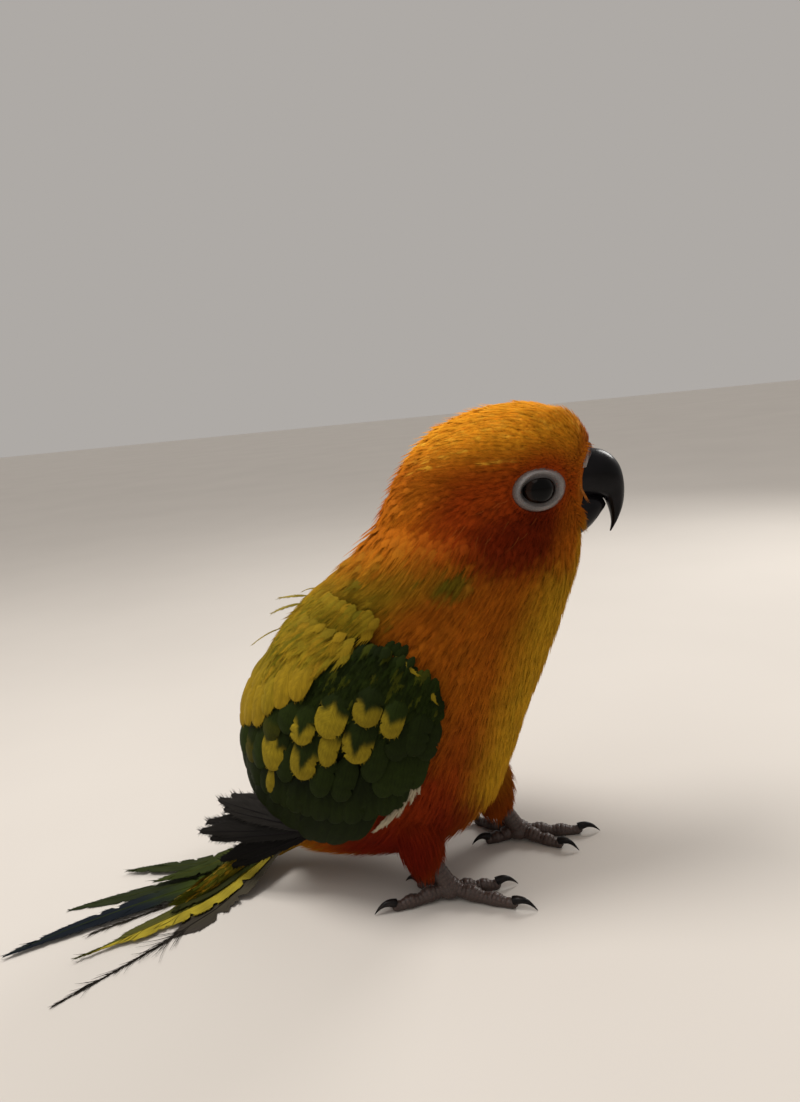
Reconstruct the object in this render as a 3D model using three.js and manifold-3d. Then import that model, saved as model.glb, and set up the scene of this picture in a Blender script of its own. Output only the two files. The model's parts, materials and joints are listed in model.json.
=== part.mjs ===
// A life-size sun conure, standing upright with its head turned a little to its left and its tail laid
// on the ground behind it. Millimetres, +X forward, +Y to the bird's left, +Z up, ground at z = 0.
import * as THREE from "three";
import { mergeVertices } from "three/addons/utils/BufferGeometryUtils.js";
import Module from "manifold-3d";

const wasm = await Module();
wasm.setup();

const { degToRad, clamp, lerp, smoothstep } = THREE.MathUtils;
const vec = (x, y, z) => new THREE.Vector3(x, y, z);
const RIGHT = -1;
const LEFT = 1;

// Driving dimensions
const GAP = 0.3; // between pieces that meet
const CROWN_HEIGHT = 132.3;
const HEAD_TURN = degToRad(15); // the head looks to the bird's left
const TURN_FROM_Z = 76;
const TURN_TO_Z = 101;
const NECK_AXIS_X = 4;
const EYE_RADIUS = 4.5;
const EYE_X = 15.7;
const EYE_Z = 110.4;
const EYE_SUNK = 3.1; // eyeball centre under the skin
const LID_RADIUS = 5.4;
const LID_THICK = 1.25;
const VANE_THICK = 0.62;
const WING_THICK = 2.6;
const RIGHT_FOOT = { x: -13, y: -15.5, heading: degToRad(4) };
const LEFT_FOOT = { x: 3, y: 15.5, heading: degToRad(-2) };
const TOE_RADIUS = 2.15;
const TARSUS_RADIUS = 2.5;
const TAIL_ROOT = vec(-63, 0, 9.5);
const TAIL_HEADING = degToRad(-38); // the fan's middle, turned from straight back towards the right
const SEED = 7;

// The body is a stack of slices, each from a point on the back to a point on the front, with a half width.
const BODY_SLICES = [
  { front: [-64, 8.6], back: [-64.4, 9.4], half: 0.4 },
  { front: [-60, 7.2], back: [-66.5, 12.2], half: 5 },
  { front: [-53, 5.8], back: [-69.5, 17.5], half: 10 },
  { front: [-42, 5.4], back: [-71.5, 25.5], half: 15.5 },
  { front: [-26, 7.5], back: [-72, 36], half: 20.5 },
  { front: [-10, 13.5], back: [-71, 47], half: 24 },
  { front: [1, 25], back: [-68, 58], half: 25.5 },
  { front: [7, 38], back: [-63, 68.5], half: 25.8 },
  { front: [12.5, 52], back: [-56, 78], half: 25.2 },
  { front: [18.5, 66], back: [-46, 87], half: 23.2 },
  { front: [23.5, 79], back: [-34.5, 96], half: 20 },
  { front: [27.5, 91], back: [-25.5, 105], half: 17.2 },
  { front: [29.5, 101], back: [-21.5, 112.5], half: 16.2 },
  { front: [30.8, 111], back: [-17, 119.5], half: 16.2 },
  { front: [32, 119.5], back: [-9.5, 126.5], half: 14.8 },
  { front: [28.5, 127], back: [0, 130.6], half: 11 },
  { front: [22, 130.5], back: [7.5, 132], half: 6 },
  { front: [15.4, CROWN_HEIGHT], back: [14.6, CROWN_HEIGHT], half: 0.4 },
];
const TOP = BODY_SLICES.length - 1;
const NECK_SLICE = 10.1;
const HEAD_SLICE = 11.9;
const RUMP_SLICE = 4.6;
const SLICE_GAP = 0.035; // of a slice's spacing, which keeps pieces apart by about GAP
const ROUNDNESS = 2.15; // exponent of the slices' outlines
const BODY_SIDES = 26;

// Seeded random numbers, so that each build is the same.
let state = SEED;
function random() {
  state = (state * 16807) % 2147483647;
  return state / 2147483647;
}

const vary = (value, share) => value * (1 + share * (2 * random() - 1));

// Catmull-Rom interpolation through the rows of a list
function between(rows, t) {
  const last = rows.length - 1;
  const i = clamp(Math.floor(t), 0, last - 1);
  const f = clamp(t, 0, last) - i;
  const row = (k) => rows[clamp(i + k, 0, last)];
  const [a, b, c, d] = [row(-1), row(0), row(1), row(2)];
  return b.map((_, k) => {
    const p = 2 * b[k] + (c[k] - a[k]) * f;
    const q = (2 * a[k] - 5 * b[k] + 4 * c[k] - d[k]) * f * f;
    const r = (3 * b[k] - a[k] - 3 * c[k] + d[k]) * f ** 3;
    return (p + q + r) / 2;
  });
}

const stepsBetween = (from, to, count) =>
  Array.from({ length: count + 1 }, (_, i) => lerp(from, to, i / count));

const flatten = (slices) => slices.map((s) => [...s.front, ...s.back, s.half]);
const signedPower = (value, power) => Math.sign(value) * Math.abs(value) ** power;

// A point of a stack of slices: angle 0 is the front, 90 degrees the left side, 180 the back.
function slicePoint(rows, t, angle, roundness = ROUNDNESS) {
  const [fx, fz, bx, bz, half] = between(rows, t);
  const along = signedPower(Math.cos(angle), 2 / roundness) / 2 + 0.5;
  const side = signedPower(Math.sin(angle), 2 / roundness);
  return vec(lerp(bx, fx, along), Math.max(half, 0.3) * side, lerp(bz, fz, along));
}

// Turns a point of the neck or head about the neck's upright axis, the more the higher it is unless told.
function turned(p, share = smoothstep(p.z, TURN_FROM_Z, TURN_TO_Z)) {
  const angle = HEAD_TURN * share;
  const x = p.x - NECK_AXIS_X;
  return vec(
    NECK_AXIS_X + x * Math.cos(angle) - p.y * Math.sin(angle),
    x * Math.sin(angle) + p.y * Math.cos(angle),
    p.z,
  );
}

const BODY_ROWS = flatten(BODY_SLICES);
const bodyPoint = (t, angle) => turned(slicePoint(BODY_ROWS, t, angle));

// The body's surface at (t, angle), with its outward normal and the direction that the feathers lie in
function onBody(t, angle, lift = 0) {
  const step = 0.02;
  const down = bodyPoint(t - step, angle).sub(bodyPoint(t + step, angle)).normalize();
  const around = bodyPoint(t, angle + step).sub(bodyPoint(t, angle - step)).normalize();
  const normal = new THREE.Vector3().crossVectors(around, down).negate().normalize();
  return { p: bodyPoint(t, angle).addScaledVector(normal, lift), normal, down, around };
}

// A closed geometry from rings of points. Rows of `flip` take the other diagonal, so that thin walls match.
function closedRings(rings, flip = []) {
  const sides = rings[0].length;
  const points = rings.flat().map((p) => p.toArray());
  const faces = [];
  for (let i = 0; i < rings.length - 1; i++) {
    for (let k = 0; k < sides; k++) {
      const a = i * sides + k;
      const b = i * sides + ((k + 1) % sides);
      const [c, d] = [a + sides, b + sides];
      faces.push(...(flip[k] ? [[a, b, c], [b, d, c]] : [[a, b, d], [a, d, c]]));
    }
  }
  const last = (rings.length - 1) * sides;
  for (let k = 1; k < sides - 1; k++) {
    faces.push([0, k + 1, k], [last, last + k, last + k + 1]);
  }
  const geometry = new THREE.BufferGeometry();
  geometry.setAttribute("position", new THREE.Float32BufferAttribute(points.flat(), 3));
  geometry.setIndex(faces.flat());
  return geometry;
}

// A closed geometry's solid, turned right way out where its rings ran the other way
function solid(geometry) {
  const bare = geometry.clone();
  for (const name of Object.keys(bare.attributes)) {
    if (name !== "position") bare.deleteAttribute(name);
  }
  const merged = mergeVertices(bare, 1e-4);
  const make = (triVerts) =>
    new wasm.Manifold(
      new wasm.Mesh({ numProp: 3, vertProperties: merged.attributes.position.array, triVerts }),
    );
  const triVerts = new Uint32Array(merged.index.array);
  const made = make(triVerts);
  return made.volume() < 0 ? make(triVerts.slice().reverse()) : made;
}

function geometryOf(body) {
  const mesh = body.getMesh();
  const geometry = new THREE.BufferGeometry();
  geometry.setAttribute("position", new THREE.Float32BufferAttribute(mesh.vertProperties, 3));
  geometry.setIndex(Array.from(mesh.triVerts));
  return geometry;
}

const joined = (solids) => solids.reduce((all, one) => all.add(one));
const largest = (body) =>
  body.decompose().reduce((best, one) => (one.volume() > best.volume() ? one : best));

// The lengths that the body is parted into, each by its first and last slice and its number of rings
const HALF_GAP = SLICE_GAP / 2;
const LENGTHS = {
  rump: stepsBetween(0.05, RUMP_SLICE - HALF_GAP, 10),
  torso: stepsBetween(RUMP_SLICE + HALF_GAP, NECK_SLICE - HALF_GAP, 12),
  neck: stepsBetween(NECK_SLICE + HALF_GAP, HEAD_SLICE - HALF_GAP, 4),
  head: stepsBetween(HEAD_SLICE + HALF_GAP, TOP - 0.05, 12),
};

function bodyLength(steps) {
  const made = steps.map((t) =>
    Array.from({ length: BODY_SIDES }, (_, k) => bodyPoint(t, (2 * Math.PI * k) / BODY_SIDES)),
  );
  return solid(closedRings(made));
}


// A smooth solid grown outwards by a distance, for cutting a neighbour that meets it
function grown(body, distance = GAP) {
  const geometry = geometryOf(body);
  geometry.computeVertexNormals();
  const { position, normal } = geometry.attributes;
  for (let i = 0; i < position.count; i++) {
    position.setXYZ(
      i,
      position.getX(i) + normal.getX(i) * distance,
      position.getY(i) + normal.getY(i) * distance,
      position.getZ(i) + normal.getZ(i) * distance,
    );
  }
  return solid(geometry);
}

function ball(radius, centre, detail = 16, squash = [1, 1, 1]) {
  const geometry = new THREE.SphereGeometry(radius, detail, Math.ceil(detail * 0.6));
  geometry.scale(...squash);
  geometry.translate(centre.x, centre.y, centre.z);
  return solid(geometry);
}

// A round tube through centres with a radius for each
function tube(centres, radii, sides = 8, up = vec(0, 0, 1)) {
  const rings = centres.map((c, i) => {
    const next = centres[Math.min(i + 1, centres.length - 1)];
    const along = next.clone().sub(centres[Math.max(i - 1, 0)]).normalize();
    const across = new THREE.Vector3().crossVectors(along, up).normalize();
    const lift = new THREE.Vector3().crossVectors(across, along);
    return Array.from({ length: sides }, (_, k) => {
      const a = ((k + 0.5) / sides) * 2 * Math.PI;
      return c
        .clone()
        .addScaledVector(across, radii[i] * Math.cos(a))
        .addScaledVector(lift, radii[i] * Math.sin(a));
    });
  });
  return solid(closedRings(rings));
}

// How wide a vane is along its length, as a share of its full width
const OUTLINES = {
  round: [0.7, 1, 0.82, 0.3],
  pointed: [0.5, 0.85, 1, 0.72, 0.12],
  blunt: [0.6, 1, 0.95, 0.6],
};
const VANE_STEPS = [0, 0.42, 0.84, 1];

// A vane through frames {p, normal, side}, with a low ridge for its shaft
function vane(frames, width, outline = "round", thick = VANE_THICK, camber = 0.08) {
  const rings = frames.map(({ p, normal, side }, i) => {
    const half = (width / 2) * OUTLINES[outline][i];
    const t = thick * (i === frames.length - 1 ? 0.6 : 1);
    const at = (across, up) =>
      p.clone().addScaledVector(side, across).addScaledVector(normal, up);
    const ridge = half * camber + 0.12;
    return [
      at(-half, t / 2),
      at(0, t / 2 + ridge),
      at(half, t / 2),
      at(half, -t / 2),
      at(0, -t / 2 + ridge * 0.6),
      at(-half, -t / 2),
    ];
  });
  return solid(closedRings(rings, [false, false, false, true, true, true]));
}

// Frames of a vane that follows the body from (t, angle) towards (t2, angle2), rising from `low` to `high`
function bodyFrames(from, to, low, high, roll = 0) {
  return VANE_STEPS.map((s) => {
    const t = lerp(from[0], to[0], s);
    const angle = lerp(from[1], to[1], s);
    const rise = lerp(low, high, Math.min(1, s * 2.2));
    const here = onBody(t, angle, rise);
    const ahead = onBody(lerp(from[0], to[0], s + 0.05), lerp(from[1], to[1], s + 0.05), rise);
    const along = ahead.p.sub(here.p).normalize();
    const side = new THREE.Vector3().crossVectors(here.normal, along).normalize();
    side.applyAxisAngle(along, roll);
    return { p: here.p, normal: new THREE.Vector3().crossVectors(along, side).normalize(), side };
  });
}

// Sizes of one wing's tiers of vanes: where each row starts and ends on the body, counted in slices
// from the tail end, and in degrees from the breast round to the back.
const WING_TIERS = [
  { name: "secondaries", count: 6, from: 5.9, to: [3.6, 3.5], arc: [84, 149], width: 11, low: 1.2, high: 1.5 },
  { name: "greater", count: 6, from: 6.8, to: [4.7, 4.75], arc: [78, 146], width: 11, low: 1.8, high: 2.8 },
  { name: "median", count: 5, from: 7.6, to: [5.8, 5.85], arc: [78, 132], width: 10.8, low: 2, high: 3.8 },
  { name: "lesser", count: 4, from: 8.2, to: [6.95, 6.9], arc: [81, 119], width: 10.2, low: 1.4, high: 4.4 },
  { name: "scapular", count: 4, from: 8.9, to: [6.5, 6.1], arc: [116, 150], width: 11.5, low: 1.2, high: 5 },
];
// Clipped flight feathers that stand out behind the wing: tilt from level, length and width
const PRIMARIES = [
  { tilt: 13, length: 33, width: 9 },
  { tilt: 2, length: 39, width: 10 },
  { tilt: -10, length: 40, width: 9.5 },
  { tilt: -21, length: 37, width: 8.5 },
];
const PRIMARY_ROOT = vec(-46, 21.5, 23);
const PRIMARY_SWEEP = 4; // how far their tips close in towards the rump
const PRIMARY_THICK = 0.8;
const WING_FROM = 4;
const WING_TO = 8.7;
const WING_BACK_ANGLE = 156;

// The wing's front edge, as an angle on the body, by slice: it bulges forward at the bend of the wing.
const wingFrontAngle = (t) => 70 + 36 * Math.abs((t - 6.8) / 2.4) ** 2.6;

// The wing's core, which hugs the body: a thin lens between two layers over it
function wingCore(side) {
  const [rowsCount, columns] = [8, 7];
  const layer = (lift) =>
    Array.from({ length: rowsCount + 1 }, (_, i) => {
      const t = lerp(WING_FROM, WING_TO, i / rowsCount);
      const front = wingFrontAngle(t);
      return Array.from({ length: columns + 1 }, (_, j) => {
        const angle = lerp(front, WING_BACK_ANGLE, j / columns);
        return onBody(t, degToRad(side * angle), lift(i / rowsCount, j / columns)).p;
      });
    });
  const bulge = (a, b) => Math.sqrt(Math.max(0, 16 * a * (1 - a) * b * (1 - b)));
  const inner = layer(() => -0.6);
  const outer = layer((a, b) => GAP + 0.7 + WING_THICK * bulge(a, b));
  const rings = inner.map((row, i) => [...row, ...outer[i].slice().reverse()]);
  return solid(stripRings(rings, columns + 1));
}

// Rings of two facing rows closed at both ends with strips instead of fans, for a thin curved plate
function stripRings(rings, columns) {
  const tubeFaces = closedRings(rings);
  const index = Array.from(tubeFaces.index.array);
  const sides = rings[0].length;
  index.splice(index.length - 6 * (sides - 2));
  const last = (rings.length - 1) * sides;
  for (let k = 0; k < columns - 1; k++) {
    const [a, b, c, d] = [k, k + 1, sides - 1 - k, sides - 2 - k];
    index.push(a, d, b, a, c, d, last + a, last + b, last + d, last + a, last + d, last + c);
  }
  tubeFaces.setIndex(index);
  return tubeFaces;
}

const bodyCutter = grown(bodyLength(Object.values(LENGTHS).flat()));

function wing(side) {
  const vanes = WING_TIERS.flatMap((tier) =>
    Array.from({ length: tier.count }, (_, k) => {
      const share = k / (tier.count - 1);
      const angle = lerp(tier.arc[0], tier.arc[1], share);
      const root = [tier.from, degToRad(side * (angle + 3))];
      const tip = [vary(lerp(tier.to[0], tier.to[1], share), 0.012), degToRad(side * angle)];
      const raised = k % 2 ? VANE_THICK + GAP : 0;
      const frames = bodyFrames(root, tip, tier.low, tier.high + raised);
      return vane(frames, vary(tier.width, 0.05), "round");
    }),
  );
  const primaries = PRIMARIES.map(({ tilt, length, width }, k) => {
    const angle = degToRad(tilt);
    const along = vec(-Math.cos(angle), 0, Math.sin(angle)).normalize();
    const across = vec(Math.sin(angle), 0, Math.cos(angle));
    const normal = vec(0, side, 0);
    const out = k % 2 ? VANE_THICK + GAP : 0;
    const frames = VANE_STEPS.map((s) => ({
      p: PRIMARY_ROOT.clone()
        .setY(side * (PRIMARY_ROOT.y - PRIMARY_SWEEP * s ** 1.6 + out))
        .addScaledVector(along, length * s),
      normal,
      side: across.clone().setY(-side * 0.25).normalize(),
    }));
    return vane(frames, width, "blunt", PRIMARY_THICK);
  });
  return joined([wingCore(side), ...vanes, ...primaries]).subtract(bodyCutter);
}

// Bill: slices from the base, sunk in the face, to the tip, in the head's own frame before it turns
const UPPER_BILL = [
  { front: [29.5, 119.6], back: [25, 105.6], half: 6.6 },
  { front: [33.2, 119.1], back: [27.8, 105.5], half: 6.6 },
  { front: [36.8, 117], back: [30.3, 105.4], half: 6.2 },
  { front: [39.2, 113.2], back: [32.8, 105.3], half: 5.2 },
  { front: [40.2, 108.4], back: [35, 104.4], half: 3.9 },
  { front: [39.9, 103.4], back: [36.2, 101], half: 2.4 },
  { front: [38.4, 99.2], back: [36.5, 98], half: 1.3 },
  { front: [36.4, 95.8], back: [36, 95.7], half: 0.4 },
];
const LOWER_BILL = [
  { front: [26, 104.7], back: [25, 94.2], half: 5.6 },
  { front: [29, 104.5], back: [27.3, 95.6], half: 5.2 },
  { front: [32, 104.2], back: [29.6, 97.2], half: 4.1 },
  { front: [34, 103.8], back: [31.3, 98.8], half: 2.9 },
  { front: [34.7, 103.4], back: [33, 100.8], half: 1.5 },
];
const BILL_SIDES = 16;
const CERE_THICK = 0.9;
const NOSTRIL_RADIUS = 0.75;
const NOSTRIL = { x: 33.2, y: 3.1, z: 119.4 };

function stack(slices, steps, sides, roundness, place = (p) => p) {
  const rows = flatten(slices);
  const rings = steps.map((t) =>
    Array.from({ length: sides }, (_, k) =>
      place(slicePoint(rows, t, (2 * Math.PI * k) / sides, roundness)),
    ),
  );
  return solid(closedRings(rings));
}

// Places a point of the head's own frame where the turned head has it
const headTurned = (p) => turned(p, 1);

function eyePlace(side) {
  let [low, high] = [HEAD_SLICE, TOP - 1];
  let angle = 90;
  for (let round = 0; round < 40; round++) {
    const t = (low + high) / 2;
    const here = slicePoint(BODY_ROWS, t, degToRad(angle));
    angle += (here.x - EYE_X) * 2;
    if (here.z < EYE_Z) low = t;
    else high = t;
  }
  return onBody((low + high) / 2, degToRad(side * angle));
}

function eyeball(side) {
  const { p, normal } = eyePlace(side);
  return ball(EYE_RADIUS, p.clone().addScaledVector(normal, -EYE_SUNK), 14);
}

// The ring of bare skin and lids round an eye, a low torus lying on the face
function lidRing(side) {
  const { p, normal } = eyePlace(side);
  const geometry = new THREE.TorusGeometry(LID_RADIUS, LID_THICK, 6, 18);
  geometry.scale(1.12, 1, 0.85);
  geometry.applyQuaternion(new THREE.Quaternion().setFromUnitVectors(vec(0, 0, 1), normal));
  const centre = p.clone().addScaledVector(normal, -0.45);
  geometry.translate(centre.x, centre.y, centre.z);
  return solid(geometry);
}

// Feet: toes with their heading from straight ahead, length, and the claw's length
const TOES = [
  { name: "toe_2", heading: 17, length: 14, claw: 5.2 },
  { name: "toe_3", heading: -14, length: 19, claw: 5.6 },
  { name: "toe_1", heading: 155, length: 10, claw: 4.6 },
  { name: "toe_4", heading: 205, length: 16, claw: 5.2 },
];
const TOE_PADS = 3;
const CLAW_RADIUS = 1.25;
const ANKLE_LEAN = -8;
const ANKLE_HEIGHT = 17;

// A point on the ground plan of a foot, turned to the foot's heading and mirrored for the left foot
function footPoint(foot, side, heading, distance, z) {
  const angle = foot.heading - side * degToRad(heading);
  return vec(foot.x + distance * Math.cos(angle), foot.y + distance * Math.sin(angle), z);
}

function toe(foot, side, { heading, length }) {
  const steps = 7;
  const centres = [];
  const radii = [];
  for (let i = 0; i <= steps; i++) {
    const s = i / steps;
    const pad = 0.9 + 0.1 * Math.cos(2 * Math.PI * TOE_PADS * s);
    const radius = TOE_RADIUS * lerp(1.12, 0.72, s) * pad;
    const height = radius * 0.86 + 1.5 * (1 - s) ** 3;
    centres.push(footPoint(foot, side, heading, 0.5 + length * s, height));
    radii.push(radius);
  }
  return tube(centres, radii, 7);
}

function claw(foot, side, { heading, length, claw: reach }) {
  const steps = 5;
  const centres = [];
  const radii = [];
  for (let i = 0; i <= steps; i++) {
    const s = i / steps;
    const height = 2.1 + 1.1 * Math.sin(Math.PI * s * 0.8) - 2.35 * s * s;
    centres.push(footPoint(foot, side, heading, length + 0.2 + reach * s, height));
    radii.push(lerp(CLAW_RADIUS, 0.22, s ** 1.2));
  }
  return tube(centres, radii, 7);
}

function ankle(foot) {
  return vec(foot.x + ANKLE_LEAN, foot.y * 0.93, ANKLE_HEIGHT);
}

function footSolid(foot, side) {
  const top = ankle(foot);
  const sole = vec(foot.x, foot.y, 3);
  const shank = tube(
    [sole, sole.clone().lerp(top, 0.33), sole.clone().lerp(top, 0.66), top],
    [TARSUS_RADIUS * 1.1, TARSUS_RADIUS, TARSUS_RADIUS * 1.02, TARSUS_RADIUS * 1.15],
    10,
    vec(1, 0, 0),
  );
  const palm = ball(3.3, sole.clone().setZ(2.5), 12, [1, 1, 1]);
  return joined([shank, palm, ...TOES.map((one) => toe(foot, side, one))]);
}

// The feathered thigh, a soft cone that hangs from the belly round the top of the shank
function thighSolid(foot, side) {
  const slices = [
    { front: [5.2, -10], back: [-2.6, -9], half: 3.7 },
    { front: [7, -6], back: [-5, -5], half: 5.4 },
    { front: [8, 0], back: [-8, 2], half: 7 },
    { front: [7, 8], back: [-11, 10], half: 7.8 },
    { front: [3, 18], back: [-13, 20], half: 6.8 },
  ];
  const top = ankle(foot);
  const place = (p) => vec(top.x + p.x, top.y + p.y - side * 0.12 * p.z, top.z + p.z);
  return stack(slices, stepsBetween(0, 4, 7), 14, 2, place);
}

// Tail: the rectrices, from the bird's right to its left, with the turn from the fan's middle
const TAIL_FEATHERS = [
  { name: "frayed", turn: -25, length: 78, width: 10, level: 0 },
  { name: "striped", turn: -17, length: 68, width: 9.5, level: 1 },
  { name: "short_right", turn: -9, length: 42, width: 8, level: 2 },
  { name: "inner_right", turn: -5, length: 62, width: 9, level: 0 },
  { name: "blue_tipped", turn: 2, length: 84, width: 9, level: 1 },
  { name: "inner_left", turn: 9, length: 68, width: 9, level: 0 },
  { name: "short_left", turn: 15, length: 44, width: 8, level: 2 },
  { name: "outer_left", turn: 22, length: 54, width: 8.5, level: 1 },
];
const TAIL_COVERTS = 5;
const TAIL_LEVEL = VANE_THICK + GAP;
const TAIL_CORE = [
  { front: [-54, 8], back: [-58, 20], half: 8 },
  { front: [-62, 4.6], back: [-69, 15], half: 8.4 },
  { front: [-70, 2.2], back: [-77, 9.6], half: 7.2 },
  { front: [-79, 0.8], back: [-83, 5.6], half: 5.4 },
];

// The height of a tail feather's middle: it comes down from the rump and then lies along the ground.
function tailHeight(distance, level) {
  const drop = smoothstep(distance, 4, 34);
  return lerp(7.2, VANE_THICK / 2 - 0.02, drop) + level * TAIL_LEVEL * (0.4 + 0.6 * drop);
}

function tailFeather({ turn, length, width, level }) {
  const heading = TAIL_HEADING + degToRad(turn);
  const place = (distance) =>
    vec(
      TAIL_ROOT.x - distance * Math.cos(heading),
      TAIL_ROOT.y + distance * Math.sin(heading),
      tailHeight(distance, level),
    );
  const steps = [0, 0.3, 0.55, 0.86, 1];
  const side = vec(Math.sin(heading), Math.cos(heading), 0);
  const frames = steps.map((s) => {
    const along = place(length * s + 0.5).sub(place(length * s - 0.5)).normalize();
    return { p: place(length * s), normal: new THREE.Vector3().crossVectors(side, along), side };
  });
  for (const f of frames) {
    if (f.normal.z < 0) f.normal.negate();
  }
  return vane(frames, width, "pointed", VANE_THICK, 0.03);
}

// Upper tail coverts: short vanes over the roots of the tail
function tailCovert(k) {
  const share = k / (TAIL_COVERTS - 1);
  const heading = TAIL_HEADING + degToRad(lerp(-20, 30, share));
  const side = vec(Math.sin(heading), Math.cos(heading), 0);
  const frames = VANE_STEPS.map((s) => {
    const distance = 2 + 21 * s;
    const height = lerp(11.5, 5.2, Math.sin(s * 1.5)) + (k % 2) * TAIL_LEVEL;
    const p = vec(
      TAIL_ROOT.x - distance * Math.cos(heading),
      TAIL_ROOT.y + distance * Math.sin(heading),
      height,
    );
    return { p, normal: vec(-0.35, 0, 0.94), side };
  });
  return vane(frames, 8.5, "round", VANE_THICK, 0.1);
}

// Everything that would reach below the ground is cut off level with it.
const GROUND = solid(new THREE.BoxGeometry(400, 400, 40).translate(0, 0, -20));

const group = new THREE.Group();

function add(name, body, colour, roughness = 0.8) {
  const material = new THREE.MeshStandardMaterial({ color: colour, roughness, metalness: 0 });
  const mesh = new THREE.Mesh(geometryOf(largest(body)), material);
  mesh.name = name;
  group.add(mesh);
}

// Head, with sockets for the eyes and a raised ring of skin round each
const eyes = [RIGHT, LEFT].map(eyeball);
const upperBill = stack(UPPER_BILL, stepsBetween(0, 7, 12), BILL_SIDES, 2.1, headTurned);
const lowerBill = stack(LOWER_BILL, stepsBetween(0, 4, 6), BILL_SIDES, 2.1, headTurned);
const headLength = bodyLength(LENGTHS.head);
let head = joined([headLength, lidRing(RIGHT), lidRing(LEFT)]);
for (const eye of eyes) head = head.subtract(grown(eye));

// The cere saddles the top of the bill's base, with a nostril on each side.
const cereBand = ball(7.6, headTurned(vec(30.4, 0, 114.2)), 16, [0.5, 0.96, 0.82]);
const nostrils = [RIGHT, LEFT].map((side) =>
  ball(NOSTRIL_RADIUS, headTurned(vec(NOSTRIL.x, side * NOSTRIL.y, NOSTRIL.z)), 8),
);
let upper = joined([upperBill, cereBand]).subtract(bodyCutter);
for (const nostril of nostrils) upper = upper.subtract(nostril);
const lower = lowerBill.subtract(bodyCutter).subtract(grown(upper));

add("head", head, "#e8921c");
add("eye_right", eyes[0], "#120d0b", 0.15);
add("eye_left", eyes[1], "#120d0b", 0.15);
add("bill_upper", upper, "#1d1a1c", 0.35);
add("bill_lower", lower, "#1d1a1c", 0.35);
add("neck", bodyLength(LENGTHS.neck), "#e59a1e");
add("torso", bodyLength(LENGTHS.torso), "#e0941f");
add("rump", bodyLength(LENGTHS.rump), "#d9a726");

for (const [side, word, foot] of [
  [RIGHT, "right", RIGHT_FOOT],
  [LEFT, "left", LEFT_FOOT],
]) {
  add(`wing_${word}`, wing(side), "#3c4a1c");
  const thigh = thighSolid(foot, side);
  const footWhole = footSolid(foot, side);
  add(`thigh_${word}`, thigh.subtract(bodyCutter).subtract(grown(footWhole, GAP + 0.1)), "#cf7a22");
  add(`foot_${word}`, footWhole.subtract(bodyCutter).subtract(GROUND), "#6f5f5b");
  for (const one of TOES) {
    const cut = grown(footWhole, GAP + 0.15);
    add(`claw_${word}_${one.name}`, claw(foot, side, one).subtract(cut).subtract(GROUND), "#1c1818", 0.4);
  }
}

const tailCore = stack(TAIL_CORE, stepsBetween(0, 3, 6), 16, 2.2, (p) =>
  vec(p.x, p.y + Math.tan(TAIL_HEADING) * smoothstep(-p.x, 56, 90) * (TAIL_ROOT.x - p.x + 8), p.z),
);
const tail = joined([
  tailCore,
  ...TAIL_FEATHERS.map(tailFeather),
  ...Array.from({ length: TAIL_COVERTS }, (_, k) => tailCovert(k)),
]);
add("tail", tail.subtract(bodyCutter).subtract(GROUND), "#5c6a2a");

// The ground and the middle of the model's plan are its zero.
const extent = new THREE.Box3().setFromObject(group);
group.position.set(-(extent.min.x + extent.max.x) / 2, -(extent.min.y + extent.max.y) / 2, -extent.min.z);

export default group;
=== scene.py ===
"""A life-size sun conure: skin, feather coat, wings, worn tail, bill, eyes and feet over its solids."""

import json
import math

import bmesh
import bpy
import numpy as np
from mathutils import Matrix, Vector

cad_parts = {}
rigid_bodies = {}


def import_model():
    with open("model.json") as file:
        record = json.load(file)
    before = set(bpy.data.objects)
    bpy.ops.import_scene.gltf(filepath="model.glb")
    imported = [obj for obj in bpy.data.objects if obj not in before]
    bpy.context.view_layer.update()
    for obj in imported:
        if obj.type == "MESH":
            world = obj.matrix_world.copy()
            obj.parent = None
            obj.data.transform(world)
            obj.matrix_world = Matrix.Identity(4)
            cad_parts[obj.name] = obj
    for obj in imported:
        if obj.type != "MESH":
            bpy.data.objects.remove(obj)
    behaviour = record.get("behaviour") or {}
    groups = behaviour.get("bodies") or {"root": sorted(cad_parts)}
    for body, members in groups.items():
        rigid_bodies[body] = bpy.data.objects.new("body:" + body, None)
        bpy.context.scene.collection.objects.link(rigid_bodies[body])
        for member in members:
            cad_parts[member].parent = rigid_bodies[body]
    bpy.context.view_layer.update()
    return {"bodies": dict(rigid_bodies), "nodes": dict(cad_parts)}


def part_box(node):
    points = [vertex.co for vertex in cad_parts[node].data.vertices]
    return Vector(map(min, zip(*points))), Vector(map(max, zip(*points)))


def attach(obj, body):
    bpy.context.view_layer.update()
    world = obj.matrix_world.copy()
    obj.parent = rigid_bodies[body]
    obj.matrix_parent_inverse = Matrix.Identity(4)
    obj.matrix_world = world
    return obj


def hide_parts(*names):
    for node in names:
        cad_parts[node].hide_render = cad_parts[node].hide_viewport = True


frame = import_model()

RIGHT, LEFT = -1, 1
SIDES = {RIGHT: "right", LEFT: "left"}

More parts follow.
